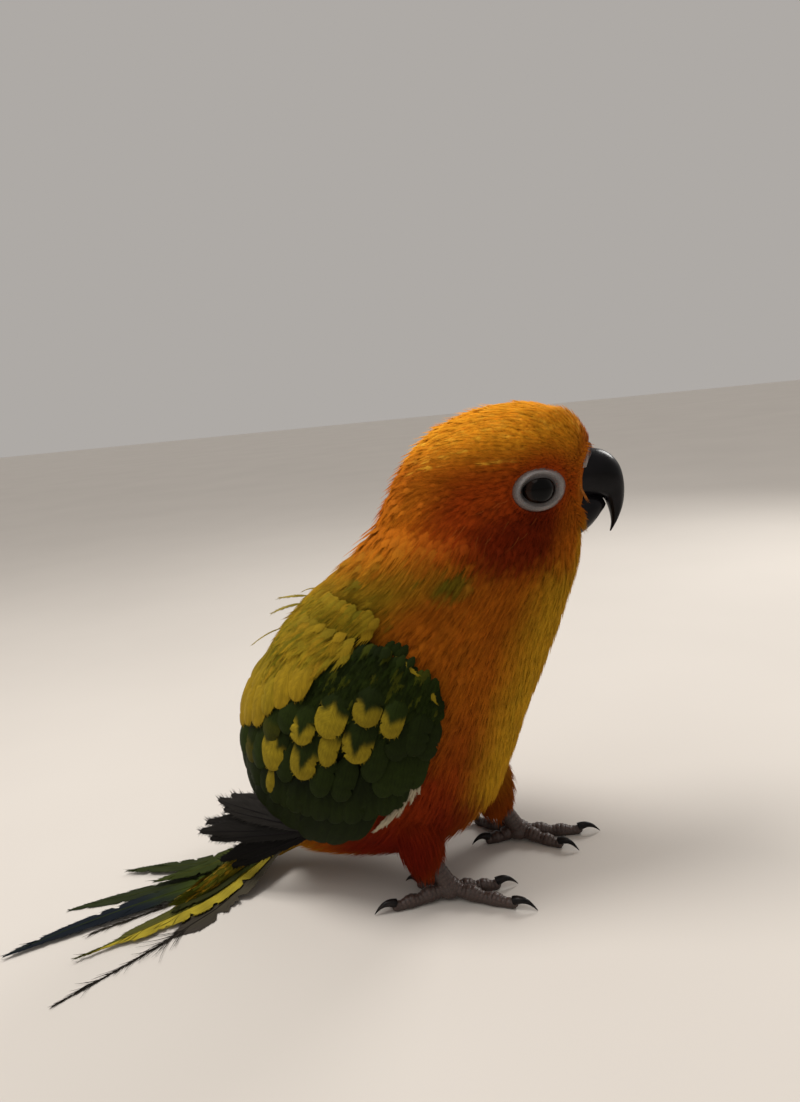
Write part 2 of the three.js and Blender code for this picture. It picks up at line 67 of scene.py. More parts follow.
# Body, in millimetres and in the bird's own numbers: each slice runs from a point on the breast's side
# (x, z) to a point on the back's side (x, z), with a half width.
BODY = np.array([
    (-64.0, 8.6, -64.4, 9.4, 0.4),
    (-60.0, 7.2, -66.5, 12.2, 5.0),
    (-53.0, 5.8, -69.5, 17.5, 10.0),
    (-42.0, 5.4, -71.5, 25.5, 15.5),
    (-26.0, 7.5, -72.0, 36.0, 20.5),
    (-10.0, 13.5, -71.0, 47.0, 24.0),
    (1.0, 25.0, -68.0, 58.0, 25.5),
    (7.0, 38.0, -63.0, 68.5, 25.8),
    (12.5, 52.0, -56.0, 78.0, 25.2),
    (18.5, 66.0, -46.0, 87.0, 23.2),
    (23.5, 79.0, -34.5, 96.0, 20.0),
    (27.5, 91.0, -25.5, 105.0, 17.2),
    (29.5, 101.0, -21.5, 112.5, 16.2),
    (30.8, 111.0, -17.0, 119.5, 16.2),
    (32.0, 119.5, -9.5, 126.5, 14.8),
    (28.5, 127.0, 0.0, 130.6, 11.0),
    (22.0, 130.5, 7.5, 132.0, 6.0),
    (15.4, 132.3, 14.6, 132.3, 0.4),
])
TOP = len(BODY) - 1
ROUNDNESS = 2.15
HEAD_TURN = math.radians(15)
TURN_FROM_Z, TURN_TO_Z = 76.0, 101.0
NECK_AXIS_X = 4.0
EYE_X, EYE_Z, EYE_SUNK = 15.7, 110.4, 3.1
BALL_RADIUS, BALL_SUNK = 5.1, 3.75
BILL_ROOT = np.array([31.0, 0.0, 114.0])


def linear(code):
    """A colour code as linear red, green and blue"""
    c = np.array([int(code[i:i + 2], 16) for i in (1, 3, 5)]) / 255
    return np.where(c < 0.04045, c / 12.92, ((c + 0.055) / 1.055) ** 2.4)


def smooth(low, high, x):
    """A share that eases from 0 at low to 1 at high"""
    f = np.clip((np.asarray(x, float) - low) / (high - low), 0, 1)
    return f * f * (3 - 2 * f)


def blend(a, b, f):
    """Goes from one colour or place to another by a share for each"""
    return a + (b - a) * np.asarray(f, float)[..., None]


def blend_value(a, b, f):
    """Goes from one number to another by a share"""
    return a + (b - a) * f


def unit(v):
    return v / np.maximum(np.linalg.norm(v, axis=-1, keepdims=True), 1e-9)


def ring_of(sides):
    """Evenly spaced angles once round"""
    return np.linspace(0, 2 * np.pi, sides, endpoint=False)


def between(rows, t):
    """Catmull-Rom interpolation through the rows of a list"""
    t = np.asarray(t, float)
    last = len(rows) - 1
    i = np.clip(np.floor(t).astype(int), 0, last - 1)
    f = (np.clip(t, 0, last) - i)[..., None]
    a, b, c, d = (rows[np.clip(i + k, 0, last)] for k in (-1, 0, 1, 2))
    square = (2 * a - 5 * b + 4 * c - d) * f**2
    cube = (3 * b - a - 3 * c + d) * f**3
    return (2 * b + (c - a) * f + square + cube) / 2


def slice_point(rows, t, angle, roundness=ROUNDNESS):
    """A point of a stack of slices: angle 0 is the front, 90 degrees the left, 180 the back"""
    row = between(rows, t)
    c, s = np.cos(angle), np.sin(angle)
    along = np.sign(c) * np.abs(c) ** (2 / roundness) / 2 + 0.5
    side = np.sign(s) * np.abs(s) ** (2 / roundness)
    x = row[..., 2] + (row[..., 0] - row[..., 2]) * along
    z = row[..., 3] + (row[..., 1] - row[..., 3]) * along
    return np.stack([x, np.maximum(row[..., 4], 0.3) * side, z], -1)


def turned(p, share=None, back=False):
    """Turns points of the neck and head about the neck's upright axis"""
    share = smooth(TURN_FROM_Z, TURN_TO_Z, p[..., 2]) if share is None else share
    angle = HEAD_TURN * share * (-1 if back else 1)
    x, y = p[..., 0] - NECK_AXIS_X, p[..., 1]
    c, s = np.cos(angle), np.sin(angle)
    return np.stack([NECK_AXIS_X + x * c - y * s, x * s + y * c, p[..., 2]], -1)


def body_point(t, angle):
    return turned(slice_point(BODY, t, angle))


def surface(point, t, angle, lift=0.0):
    """Place, outward normal, way down the body and way round it, at (t, angle) of a surface"""
    t, angle = np.broadcast_arrays(np.asarray(t, float), np.asarray(angle, float))
    step = 0.02
    down = unit(point(t - step, angle) - point(t + step, angle))
    around = unit(point(t, angle + step) - point(t, angle - step))
    normal = unit(np.cross(down, around))
    return point(t, angle) + normal * np.asarray(lift, float)[..., None], normal, down, around


def eye_place(side):
    """Where the eye's axis leaves the head"""
    low, high, angle = 11.9, TOP - 1.0, 90.0
    for _ in range(40):
        t = (low + high) / 2
        here = slice_point(BODY, np.array(t), np.radians(angle))
        angle += (here[0] - EYE_X) * 2
        low, high = (t, high) if here[2] < EYE_Z else (low, t)
    p, normal, down, _ = surface(body_point, (low + high) / 2, np.radians(side * angle))
    return p, normal


# The frame's zero is the middle of the model's plan. The right eye's box tells where that is.
right_eye, right_axis = eye_place(RIGHT)
eye_box = np.array([list(corner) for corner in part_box("eye_right")]) * 1000
PLAN = eye_box.mean(0) - (right_eye - right_axis * EYE_SUNK)
PLAN[2] = 0


def metres(p):
    return (np.asarray(p, float) + PLAN) * 0.001


# Mesh makers
BODY_NAME = list(frame["bodies"])[0]
SHARP_FROM = math.radians(55)


def mesh_of(name, points, faces, scale=True):
    """A smooth mesh that stays sharp at steep edges"""
    mesh = bpy.data.meshes.new(name)
    mesh.from_pydata((metres(points) if scale else np.asarray(points)).tolist(), [], faces)
    mesh.validate()
    mesh.polygons.foreach_set("use_smooth", [True] * len(mesh.polygons))
    mesh.set_sharp_from_angle(angle=SHARP_FROM)
    return mesh


def attribute(mesh, name, values, kind="FLOAT_COLOR"):
    """Stores a value for each point of a mesh"""
    values = np.asarray(values, np.float32)
    if kind == "FLOAT_COLOR":
        values = np.concatenate([values, np.ones((len(values), 1), np.float32)], 1)
    key = {"FLOAT_COLOR": "color", "FLOAT": "value", "FLOAT_VECTOR": "vector"}[kind]
    mesh.attributes.new(name, kind, "POINT").data.foreach_set(key, values.ravel())


def placed(name, data):
    """A new object in the scene"""
    thing = bpy.data.objects.new(name, data)
    bpy.context.scene.collection.objects.link(thing)
    return thing


def piece(name, mesh, material=None, replaces=()):
    """A finished piece of the bird, with its finish and the solids that it stands for"""
    thing = placed(name, mesh)
    if material:
        mesh.materials.clear()
        mesh.materials.append(material)
    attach(thing, BODY_NAME)
    if replaces:
        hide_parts(*replaces)
    return thing


def tube_faces(rings, sides, start=0):
    """Faces of a closed tube, whose rings of points follow one another from `start`"""
    faces = []
    for i in range(rings - 1):
        for k in range(sides):
            a, b = start + i * sides + k, start + i * sides + (k + 1) % sides
            faces.append((a, a + sides, b + sides, b))
    last = start + (rings - 1) * sides
    faces.append(tuple(range(start, start + sides)))
    faces.append(tuple(range(last + sides - 1, last - 1, -1)))
    return faces


class Build:
    """Gathers points, faces, colours and places on the vane of many small shapes for one mesh"""

    def __init__(self):
        self.points, self.faces, self.colours, self.vanes, self.cells = [], [], [], [], []
        self.count = 0
        self.shapes = 0

    def add(self, points, faces, colour, vane=None):
        points = np.asarray(points, float).reshape(-1, 3)
        n = len(points)
        self.points.append(points)
        self.faces += [tuple(i + self.count for i in f) for f in faces]
        self.colours.append(np.broadcast_to(np.asarray(colour, float), (n, 3)))
        self.vanes.append(np.zeros((n, 3)) if vane is None else vane)
        self.cells.append(np.full(n, self.shapes))
        self.count += n
        self.shapes += 1

    def mesh(self, name):
        points = np.concatenate(self.points)
        points[:, 2] = np.maximum(points[:, 2], 0.0)
        mesh = mesh_of(name, points, self.faces)
        vane = np.concatenate(self.vanes)
        attribute(mesh, "coat", np.concatenate(self.colours))
        attribute(mesh, "vane", vane, "FLOAT_VECTOR")
        # Each shape has a square of its own in a grid.
        grid = math.ceil(math.sqrt(self.shapes))
        cell = np.concatenate(self.cells)
        corner = np.stack([cell % grid, cell // grid], -1)
        uv = (corner + 0.08 + 0.84 * np.clip(vane[:, :2], 0, 1)) / grid
        index = np.empty(len(mesh.loops), np.int32)
        mesh.loops.foreach_get("vertex_index", index)
        layer = mesh.uv_layers.new(name="OFBake")
        layer.data.foreach_set("uv", uv[index].astype(np.float32).ravel())
        return mesh


# Colours of the plumage. Nape, breast, belly, flank and cheek are set darker than the crown: partly their own
# colours, partly painted shade of light from above.
CROWN = linear("#e6981f")
CROWN_TIP = linear("#f2bb3c")
NAPE = linear("#b6630f")
FACE = linear("#9c3408")
CHEEK = linear("#681b02")
THROAT = linear("#a8580e")
BREAST = linear("#9f540d")
# The breast rim's yellow is partly its own colour, partly painted rim light.
BREAST_RIM = linear("#ba8a1c")
BELLY = linear("#7a2205")
FLANK = linear("#641003")
VENT = linear("#a87a1b")
MANTLE = linear("#967718")
GREEN = linear("#212b08")
DEEP_GREEN = linear("#0e1404")
OLIVE = linear("#55570f")
TIP_YELLOW = linear("#806e17")
PRIMARY_GREY = linear("#272523")
CREAM = linear("#b8ab90")

FRONT_X, FRONT_Z = BODY[:, 0], BODY[:, 1]
BACK_X, BACK_Z = BODY[:, 2], BODY[:, 3]

# Soft patches: x, distance from the middle plane, z, radius along x, y and z, colour, strength
PATCHES = [
    # The belly and flank patches low on the body are partly painted shade.
    (-18, 22, 30, 24, 16, 22, BELLY, 0.9),
    (-26, 18, 16, 20, 20, 14, FLANK, 0.9),
    (-4, 16, 22, 12, 14, 14, FLANK, 0.8),
    (2, 24, 44, 12, 10, 20, BELLY, 0.45),
    (-57, 6, 10, 15, 24, 12, VENT, 0.9),
    (-36, 8, 5, 18, 14, 9, VENT, 0.6),
    (29, 0, 117, 8, 12, 9, FACE, 0.9),
    (19, 15, 110, 14, 8, 13, FACE, 0.9),
    (4, 16, 108, 17, 9, 12, FACE, 0.8),
    (-6, 17, 104, 12, 9, 10, FACE, 0.45),
    # The dark cheek patches under the eye are partly painted shade.
    (8, 15, 99, 15, 8, 10, CHEEK, 0.95),
    (17, 13, 101, 9, 8, 8, CHEEK, 0.75),
    (25, 8, 99, 8, 9, 11, THROAT, 0.7),
    (29, 3, 96, 5, 8, 9, BREAST_RIM, 0.8),
    (-4.5, 20, 91.5, 6.0, 9, 4.5, OLIVE, 0.75),
]


def plumage(p):
    """The coat's colour at places on the body, darker from the crown down: partly its own colours, partly
    painted shade
    """
    own = turned(p, back=True)
    x, y, z = own[..., 0], np.abs(own[..., 1]), own[..., 2]
    behind = np.interp(z, FRONT_Z, FRONT_X) - x
    before = x - np.interp(z, BACK_Z, BACK_X)
    colour = np.broadcast_to(BREAST, p.shape).copy()
    # Darker low on the body: partly the belly's own colour, partly painted shade.
    colour = blend(colour, BELLY, 0.35 * (1 - smooth(40, 62, z)))
    colour = blend(colour, NAPE, smooth(88, 104, z))
    colour = blend(colour, CROWN, smooth(116, 127, z + 0.12 * x))
    # A yellower band down the front of the breast: partly its own colour, partly painted rim light.
    rim = (1 - smooth(2, 15, behind)) * smooth(12, 36, z) * (1 - smooth(88, 99, z))
    colour = blend(colour, BREAST_RIM, rim)
    back = (1 - smooth(16, 40, before)) * smooth(10, 40, z) * (1 - smooth(88, 106, z))
    colour = blend(colour, MANTLE, back)
    for cx, cy, cz, rx, ry, rz, paint, strength in PATCHES:
        d = np.sqrt(((x - cx) / rx) ** 2 + ((y - cy) / ry) ** 2 + ((z - cz) / rz) ** 2)
        colour = blend(colour, paint, strength * (1 - smooth(0.35, 1.15, d)))
    return colour


# Materials
def node_material(name, roughness, coat=0.0, specular=0.5):
    """A new material with its nodes, its links and its shader"""
    material = bpy.data.materials.new(name)
    material.use_nodes = True
    nodes = material.node_tree.nodes
    principled = nodes["Principled BSDF"]
    principled.inputs["Roughness"].default_value = roughness
    principled.inputs["Coat Weight"].default_value = coat
    principled.inputs["Coat Roughness"].default_value = 0.08
    principled.inputs["Specular IOR Level"].default_value = specular
    return material, nodes, material.node_tree.links, principled


def attribute_node(nodes, name):
    """Reads a value that the piece carries"""
    node = nodes.new("ShaderNodeAttribute")
    node.attribute_name = name
    return node


def own_place(nodes):
    """The place on the piece, in its own coordinates"""
    return nodes.new("ShaderNodeTexCoord").outputs["Object"]


def maths(nodes, links, kind, a, b=None):
    """A sum, product or the like of numbers and sockets"""
    node = nodes.new("ShaderNodeMath")
    node.operation = kind
    for socket, value in zip(node.inputs, (a, b)):
        if isinstance(value, (int, float)):
            socket.default_value = value
        elif value is not None:
            links.new(value, socket)
    return node.outputs[0]


def noise(nodes, links, vector, scale, detail=2.0, stretch=(1, 1, 1)):
    """Cloudy noise over a place"""
    mapping = nodes.new("ShaderNodeMapping")
    mapping.inputs["Scale"].default_value = stretch
    links.new(vector, mapping.inputs["Vector"])
    texture = nodes.new("ShaderNodeTexNoise")
    texture.inputs["Scale"].default_value = scale
    texture.inputs["Detail"].default_value = detail
    links.new(mapping.outputs[0], texture.inputs["Vector"])
    return texture.outputs["Fac"]


def spread(nodes, links, value, low, high, to_low, to_high):
    """Stretches a value's range to another range"""
    node = nodes.new("ShaderNodeMapRange")
    node.inputs["From Min"].default_value = low
    node.inputs["From Max"].default_value = high
    node.inputs["To Min"].default_value = to_low
    node.inputs["To Max"].default_value = to_high
    links.new(value, node.inputs["Value"])
    return node.outputs[0]


def bumped(nodes, links, height, principled, strength, distance):
    """Raises the surface by a height"""
    bump = nodes.new("ShaderNodeBump")
    bump.inputs["Strength"].default_value = strength
    bump.inputs["Distance"].default_value = distance
    links.new(height, bump.inputs["Height"])
    links.new(bump.outputs[0], principled.inputs["Normal"])


def scaled(nodes, links, vector, factor):
    """A colour or a direction made stronger or weaker"""
    node = nodes.new("ShaderNodeVectorMath")
    node.operation = "SCALE"
    links.new(vector, node.inputs[0])
    links.new(factor, node.inputs["Scale"])
    return node.outputs[0]


def feather_material(name, roughness, root_shade, barb_scale, barb_depth):
    """A feather: its own colour, darker at the root and a little lighter at the tip as painted shade and
    light, and streaked along its slanting barbs
    """
    material, nodes, links, principled = node_material(name, roughness, specular=0.06)
    colour = attribute_node(nodes, "coat").outputs["Color"]
    vane = attribute_node(nodes, "vane").outputs["Vector"]
    split = nodes.new("ShaderNodeSeparateXYZ")
    links.new(vane, split.inputs[0])
    # Painted shade: each feather is darker towards its root, where the next ones overlap it, and a little
    # lighter at its tip.
    along = spread(nodes, links, split.outputs["X"], 0.15, 0.9, root_shade, 1.06)
    off_shaft = maths(nodes, links, "ABSOLUTE", maths(nodes, links, "SUBTRACT", split.outputs["Y"], 0.5))
    set_back = maths(nodes, links, "MULTIPLY", off_shaft, 0.55)
    slant = maths(nodes, links, "SUBTRACT", split.outputs["X"], set_back)
    line = nodes.new("ShaderNodeCombineXYZ")
    links.new(slant, line.inputs["X"])
    links.new(maths(nodes, links, "MULTIPLY", split.outputs["Y"], 0.08), line.inputs["Y"])
    barbs = noise(nodes, links, line.outputs[0], barb_scale, 3)
    place = own_place(nodes)
    mottle = noise(nodes, links, place, 260, 2)
    streak = spread(nodes, links, barbs, 0.3, 0.7, 0.76, 1.18)
    patch = spread(nodes, links, mottle, 0.25, 0.75, 0.88, 1.1)
    shade = maths(nodes, links, "MULTIPLY", maths(nodes, links, "MULTIPLY", along, streak), patch)
    links.new(scaled(nodes, links, colour, shade), principled.inputs["Base Color"])
    bumped(nodes, links, barbs, principled, 0.4, barb_depth)
    return material


# The third number is how dark the painted shade at each feather's root is.
PLUME_FINISH = feather_material("soft_plumage", 0.8, 0.84, 22.0, 0.0001)
VANE_FINISH = feather_material("firm_vane", 0.65, 0.9, 55.0, 0.0001)


def skin_material():
    """The skin under the feathers, darker than the coat and mottled as by down: partly down, partly painted
    shade in the gaps between feathers
    """
    material, nodes, links, principled = node_material("down_covered_skin", 0.9, specular=0.1)
    colour = attribute_node(nodes, "coat").outputs["Color"]
    place = own_place(nodes)
    fluff = noise(nodes, links, place, 900, 4, (1, 1, 0.4))
    # Darkens the coat's colour to 0.62 to 0.92: partly down, partly painted shade under the feathers.
    shade = spread(nodes, links, fluff, 0.3, 0.7, 0.62, 0.92)
    links.new(scaled(nodes, links, colour, shade), principled.inputs["Base Color"])
    bumped(nodes, links, fluff, principled, 0.6, 0.0006)
    return material


SKIN_FINISH = skin_material()


def horn_material(name, dark, worn, roughness, scale):
    """Smooth horn with faint growth lines and a chalky wear"""
    material, nodes, links, principled = node_material(name, roughness, coat=0.16, specular=0.06)
    place = own_place(nodes)
    cloud = noise(nodes, links, place, scale, 5, (1, 1, 1.6))
    ramp = nodes.new("ShaderNodeValToRGB")
    ramp.color_ramp.elements[0].position = 0.42
    ramp.color_ramp.elements[1].position = 0.78
    ramp.color_ramp.elements[0].color = (*linear(dark), 1)
    ramp.color_ramp.elements[1].color = (*linear(worn), 1)
    links.new(cloud, ramp.inputs[0])
    # The piece's own colour is added on: on the bill, a painted highlight.
    highlight_tint = attribute_node(nodes, "coat").outputs["Color"]
    mixed = nodes.new("ShaderNodeMix")
    mixed.data_type = "RGBA"
    mixed.blend_type = "ADD"
    mixed.inputs["Factor"].default_value = 1.0
    links.new(ramp.outputs[0], mixed.inputs["A"])
    links.new(highlight_tint, mixed.inputs["B"])
    links.new(mixed.outputs["Result"], principled.inputs["Base Color"])
    rough = spread(nodes, links, cloud, 0.3, 0.8, roughness - 0.06, roughness + 0.16)
    links.new(rough, principled.inputs["Roughness"])
    lines = noise(nodes, links, place, scale * 6, 2, (1, 1, 5))
    bumped(nodes, links, lines, principled, 0.18, 0.0001)
    return material


BILL_FINISH = horn_material("bill_horn", "#070608", "#151216", 0.34, 160)
CLAW_FINISH = horn_material("claw_horn", "#0f0d0e", "#2c2624", 0.36, 420)


def bare_skin_material(name, roughness, cell, depth):
    """Bare skin in fine scales: colour from the piece, pits and ridges from cells"""
    material, nodes, links, principled = node_material(name, roughness, specular=0.4)
    colour = attribute_node(nodes, "coat").outputs["Color"]
    place = own_place(nodes)
    cells = nodes.new("ShaderNodeTexVoronoi")
    cells.feature = "DISTANCE_TO_EDGE"
    cells.inputs["Scale"].default_value = cell
    links.new(place, cells.inputs["Vector"])
    edge = spread(nodes, links, cells.outputs["Distance"], 0.0, 0.25, 0.7, 1.06)
    links.new(scaled(nodes, links, colour, edge), principled.inputs["Base Color"])
    principled.inputs["Subsurface Weight"].default_value = 0.08
    principled.inputs["Subsurface Scale"].default_value = 0.001
    bumped(nodes, links, edge, principled, 0.5, depth)
    return material


LID_FINISH = bare_skin_material("bare_eye_ring", 0.7, 1900, 0.00012)
FOOT_FINISH = bare_skin_material("scaled_foot", 0.42, 1100, 0.00018)


# From the pupil's middle to the eyeball's edge. The stops between are shares of that way.
PUPIL, EYE_WHITE = "#010101", "#060404"
IRIS_STOPS = ((0.36, "#020101"), (0.41, "#140a06"), (0.52, "#24130a"), (0.6, "#0a0605"))


def eye_material():
    """A dark wet eye: black pupil, deep brown iris with fine flecks, clear surface"""
    material, nodes, links, principled = node_material("wet_eye", 0.06, specular=0.12)
    off_axis = attribute_node(nodes, "off_axis").outputs["Fac"]
    ramp = nodes.new("ShaderNodeValToRGB")
    first, last = ramp.color_ramp.elements
    first.color = (*linear(PUPIL), 1)
    last.color = (*linear(EYE_WHITE), 1)
    for position, code in IRIS_STOPS:
        ramp.color_ramp.elements.new(position).color = (*linear(code), 1)
    links.new(off_axis, ramp.inputs[0])
    place = own_place(nodes)
    flecks = spread(nodes, links, noise(nodes, links, place, 2600, 3), 0.3, 0.7, 0.6, 1.5)
    links.new(scaled(nodes, links, ramp.outputs[0], flecks), principled.inputs["Base Color"])
    return material


EYE_FINISH = eye_material()


# Skin: one closed body inside the coat, with the thighs grown into it
COAT_DEPTH = np.array([
    1.0, 1.2, 1.5, 1.8, 1.9, 1.9, 1.9, 1.9, 1.9, 1.8, 1.6, 1.4, 1.2, 1.0, 0.9, 0.9, 0.9, 0.8,
])[:, None]
THIGH_COAT_DEPTH = 1.2


def coat_depth(t):
    """How thick the coat is at a slice of the body"""
    return between(COAT_DEPTH, t)[..., 0]


# Where each foot's middle stands, and its heading. The ankle is behind it, a little nearer the middle.
ANKLE_LEAN, ANKLE_HEIGHT, ANKLE_CLOSER = -8.0, 17.0, 0.93
FEET = {RIGHT: (-13.0, -15.5, math.radians(4)), LEFT: (3.0, 15.5, math.radians(-2))}
THIGH = np.array([
    (5.2, -10.0, -2.6, -9.0, 3.7),
    (7.0, -6.0, -5.0, -5.0, 5.4),
    (8.0, 0.0, -8.0, 2.0, 7.0),
    (7.0, 8.0, -11.0, 10.0, 7.8),
    (3.0, 18.0, -13.0, 20.0, 6.8),
])
THIGH_LEAN = 0.12


def ankle_of(side):
    x, y, _ = FEET[side]
    return np.array([x + ANKLE_LEAN, y * ANKLE_CLOSER, ANKLE_HEIGHT])


def thigh_point(side):
    """The surface of one thigh, which leans in to the belly"""
    ankle = ankle_of(side)

    def point(t, angle):
        p = slice_point(THIGH, t, angle, 2.0)
        lean = p[..., 2:] * (0.0, -side * THIGH_LEAN, 0.0)
        return p + lean + ankle

    return point


def skin():
    """The body and both thighs, as deep under the solids as the coat is thick"""
    build = Build()
    rows, sides = 150, 96
    t = np.linspace(0.06, TOP - 0.06, rows)[:, None]
    p, *_ = surface(body_point, t, ring_of(sides)[None, :], -coat_depth(t))
    build.add(p, tube_faces(rows, sides), plumage(p).reshape(-1, 3))
    rows, sides = 24, 32
    t = np.linspace(0.05, 3.95, rows)[:, None]
    for side in SIDES:
        p, *_ = surface(thigh_point(side), t, ring_of(sides)[None, :], -THIGH_COAT_DEPTH)
        build.add(p, tube_faces(rows, sides), plumage(p).reshape(-1, 3))
    names = ("head", "neck", "torso", "rump", "thigh_left", "thigh_right")
    piece("skin", build.mesh("skin"), SKIN_FINISH, names)


skin()


# Small feathers: a few patterns of each kind, placed by a node tree over the skin
def vane_half(v, blunt):
    """Half the width of a small feather's closed vane, from its root to its end"""
    past = np.clip((v - blunt) / (1.02 - blunt), 0, 1)
    return 0.5 * (0.3 + 0.7 * smooth(0, 0.5, v)) * np.sqrt(np.maximum(1 - past**2.2, 0.03))


def plume_pattern(rng, barbs, core, fray, camber, blunt, rows=4, columns=3):
    """One feather of unit length and width along +X: a thin closed vane whose edge frays into barbs"""
    points, faces = [], []
    across = np.linspace(-1, 1, columns)

    def at(v, u):
        half = float(vane_half(v, blunt))
        x = core * v
        return (x - 0.1 * core * u * u * v, u * half, camber * (1 - u * u) * half - 0.09 * x * x)

    for i in range(rows):
        points += [at(i / (rows - 1), u) for u in across]
    grid = len(points)
    for i in range(rows):
        x, _, z = at(i / (rows - 1), 1.0)
        points.append((x, 0.0, z - 0.012))
    for i in range(rows - 1):
        for k in range(columns - 1):
            a = i * columns + k
            faces.append((a, a + columns, a + columns + 1, a + 1))
        a, b = i * columns, (i + 1) * columns
        faces.append((a, grid + i, grid + i + 1, b))
        faces.append((grid + i, a + columns - 1, b + columns - 1, grid + i + 1))
    faces.append(tuple(range(columns)) + (grid,))
    end = (rows - 1) * columns
    faces.append(tuple(range(end + columns - 1, end - 1, -1)) + (grid + rows - 1,))
    for k in range(barbs):
        s = (k + 0.5 + rng.uniform(-0.3, 0.3)) / barbs * 2 - 1
        run = min(1.0, abs(s) * 1.9)
        v = 1 - 0.66 * max(0.0, (abs(s) - 0.3) / 0.7)
        x, y, z = at(v, np.sign(s) * run)
        x, y = x - 0.04, y * 0.95
        reach = fray * rng.uniform(0.5, 1.2) * (1.15 - 0.7 * abs(s))
        out = 0.42 * np.sign(s) * run + rng.uniform(-0.06, 0.06)
        wide = 0.01 + 0.42 / barbs
        tip = (x + 0.04 + reach, y + out * reach * 0.8, z - 0.12 * reach + rng.uniform(-0.006, 0.01))
        a = len(points)
        points += [(x, y - wide, z), (x, y + wide, z), (x - 0.02, y, z + 0.016), tip]
        faces += [(a, a + 1, a + 2), (a, a + 2, a + 3), (a + 2, a + 1, a + 3), (a + 1, a, a + 3)]
    return np.array(points), faces


PATTERN_COUNT = 5


def pattern_collection(name, seed, barbs, core, fray, camber, blunt):
    """Like feathers of one kind, from which the node tree picks"""
    rng = np.random.default_rng(seed)
    group = bpy.data.collections.new(name)
    bpy.context.scene.collection.children.link(group)
    for k in range(PATTERN_COUNT):
        points, faces = plume_pattern(rng, barbs, core, fray, camber, blunt)
        mesh = mesh_of(f"{name}_{k}", points, faces, scale=False)
        vane = np.stack([points[:, 0], points[:, 1] + 0.5, np.zeros(len(points))], -1)
        attribute(mesh, "vane", vane, "FLOAT_VECTOR")
        group.objects.link(bpy.data.objects.new(f"{name}_{k}", mesh))
    return group


def named(nodes, name, kind):
    """A value that each point carries"""
    node = nodes.new("GeometryNodeInputNamedAttribute")
    node.data_type = kind
    node.inputs["Name"].default_value = name
    return node.outputs["Attribute"]


TREE_INPUTS = {
    "Points": "Geometry",
    "Feathers": "Collection",
    "Seed": "Int",
    "Ruffle": "Float",
    "Bake Patch": "Float",
    "Finish": "Material",
}


def feather_tree():
    """Sets feathers on points that carry their lie, outward way, size, colour and root on the unwrap"""
    tree = bpy.data.node_groups.new("feathers_on_skin", "GeometryNodeTree")
    for name, kind in TREE_INPUTS.items():
        tree.interface.new_socket(name, in_out="INPUT", socket_type="NodeSocket" + kind)
    tree.interface.new_socket("Coat", in_out="OUTPUT", socket_type="NodeSocketGeometry")
    nodes, links = tree.nodes, tree.links
    given = nodes.new("NodeGroupInput")
    result = nodes.new("NodeGroupOutput")
    collection = nodes.new("GeometryNodeCollectionInfo")
    collection.inputs["Separate Children"].default_value = True
    collection.inputs["Reset Children"].default_value = True
    links.new(given.outputs["Feathers"], collection.inputs["Collection"])
    pick = nodes.new("FunctionNodeRandomValue")
    pick.data_type = "INT"
    whole = {s.identifier: s for s in pick.inputs}
    whole["Min_002"].default_value = 0
    whole["Max_002"].default_value = PATTERN_COUNT - 1
    links.new(given.outputs["Seed"], whole["Seed"])
    axes = nodes.new("FunctionNodeAxesToRotation")
    axes.primary_axis, axes.secondary_axis = "X", "Z"
    links.new(named(nodes, "lie", "FLOAT_VECTOR"), axes.inputs["Primary Axis"])
    links.new(named(nodes, "out", "FLOAT_VECTOR"), axes.inputs["Secondary Axis"])
    place = nodes.new("GeometryNodeInstanceOnPoints")
    place.inputs["Pick Instance"].default_value = True
    links.new(given.outputs["Points"], place.inputs["Points"])
    links.new(collection.outputs[0], place.inputs["Instance"])
    links.new(pick.outputs[2], place.inputs["Instance Index"])
    links.new(axes.outputs[0], place.inputs["Rotation"])
    links.new(named(nodes, "size", "FLOAT_VECTOR"), place.inputs["Scale"])
    ruffle = nodes.new("FunctionNodeRandomValue")
    ruffle.data_type = "FLOAT_VECTOR"
    ruffle.inputs["Min"].default_value = (-1, -0.35, -1)
    ruffle.inputs["Max"].default_value = (1, 0.35, 1)
    links.new(given.outputs["Seed"], ruffle.inputs["Seed"])
    euler = nodes.new("FunctionNodeEulerToRotation")
    links.new(scaled(nodes, links, ruffle.outputs[0], given.outputs["Ruffle"]), euler.inputs[0])
    turn = nodes.new("GeometryNodeRotateInstances")
    links.new(place.outputs[0], turn.inputs["Instances"])
    links.new(euler.outputs[0], turn.inputs["Rotation"])
    real = nodes.new("GeometryNodeRealizeInstances")
    links.new(turn.outputs[0], real.inputs[0])
    centred = nodes.new("ShaderNodeVectorMath")
    centred.operation = "SUBTRACT"
    centred.inputs[1].default_value = (0.5, 0.5, 0)
    links.new(named(nodes, "vane", "FLOAT_VECTOR"), centred.inputs[0])
    patch = scaled(nodes, links, centred.outputs[0], given.outputs["Bake Patch"])
    unwrap = nodes.new("ShaderNodeVectorMath")
    unwrap.operation = "ADD"
    links.new(named(nodes, "root", "FLOAT_VECTOR"), unwrap.inputs[0])
    links.new(patch, unwrap.inputs[1])
    store = nodes.new("GeometryNodeStoreNamedAttribute")
    store.data_type = "FLOAT2"
    store.domain = "CORNER"
    store.inputs["Name"].default_value = "OFBake"
    links.new(real.outputs[0], store.inputs["Geometry"])
    links.new(unwrap.outputs[0], store.inputs["Value"])
    finish = nodes.new("GeometryNodeSetMaterial")
    links.new(store.outputs[0], finish.inputs["Geometry"])
    links.new(given.outputs["Finish"], finish.inputs["Material"])
    links.new(finish.outputs[0], result.inputs[0])
    return tree


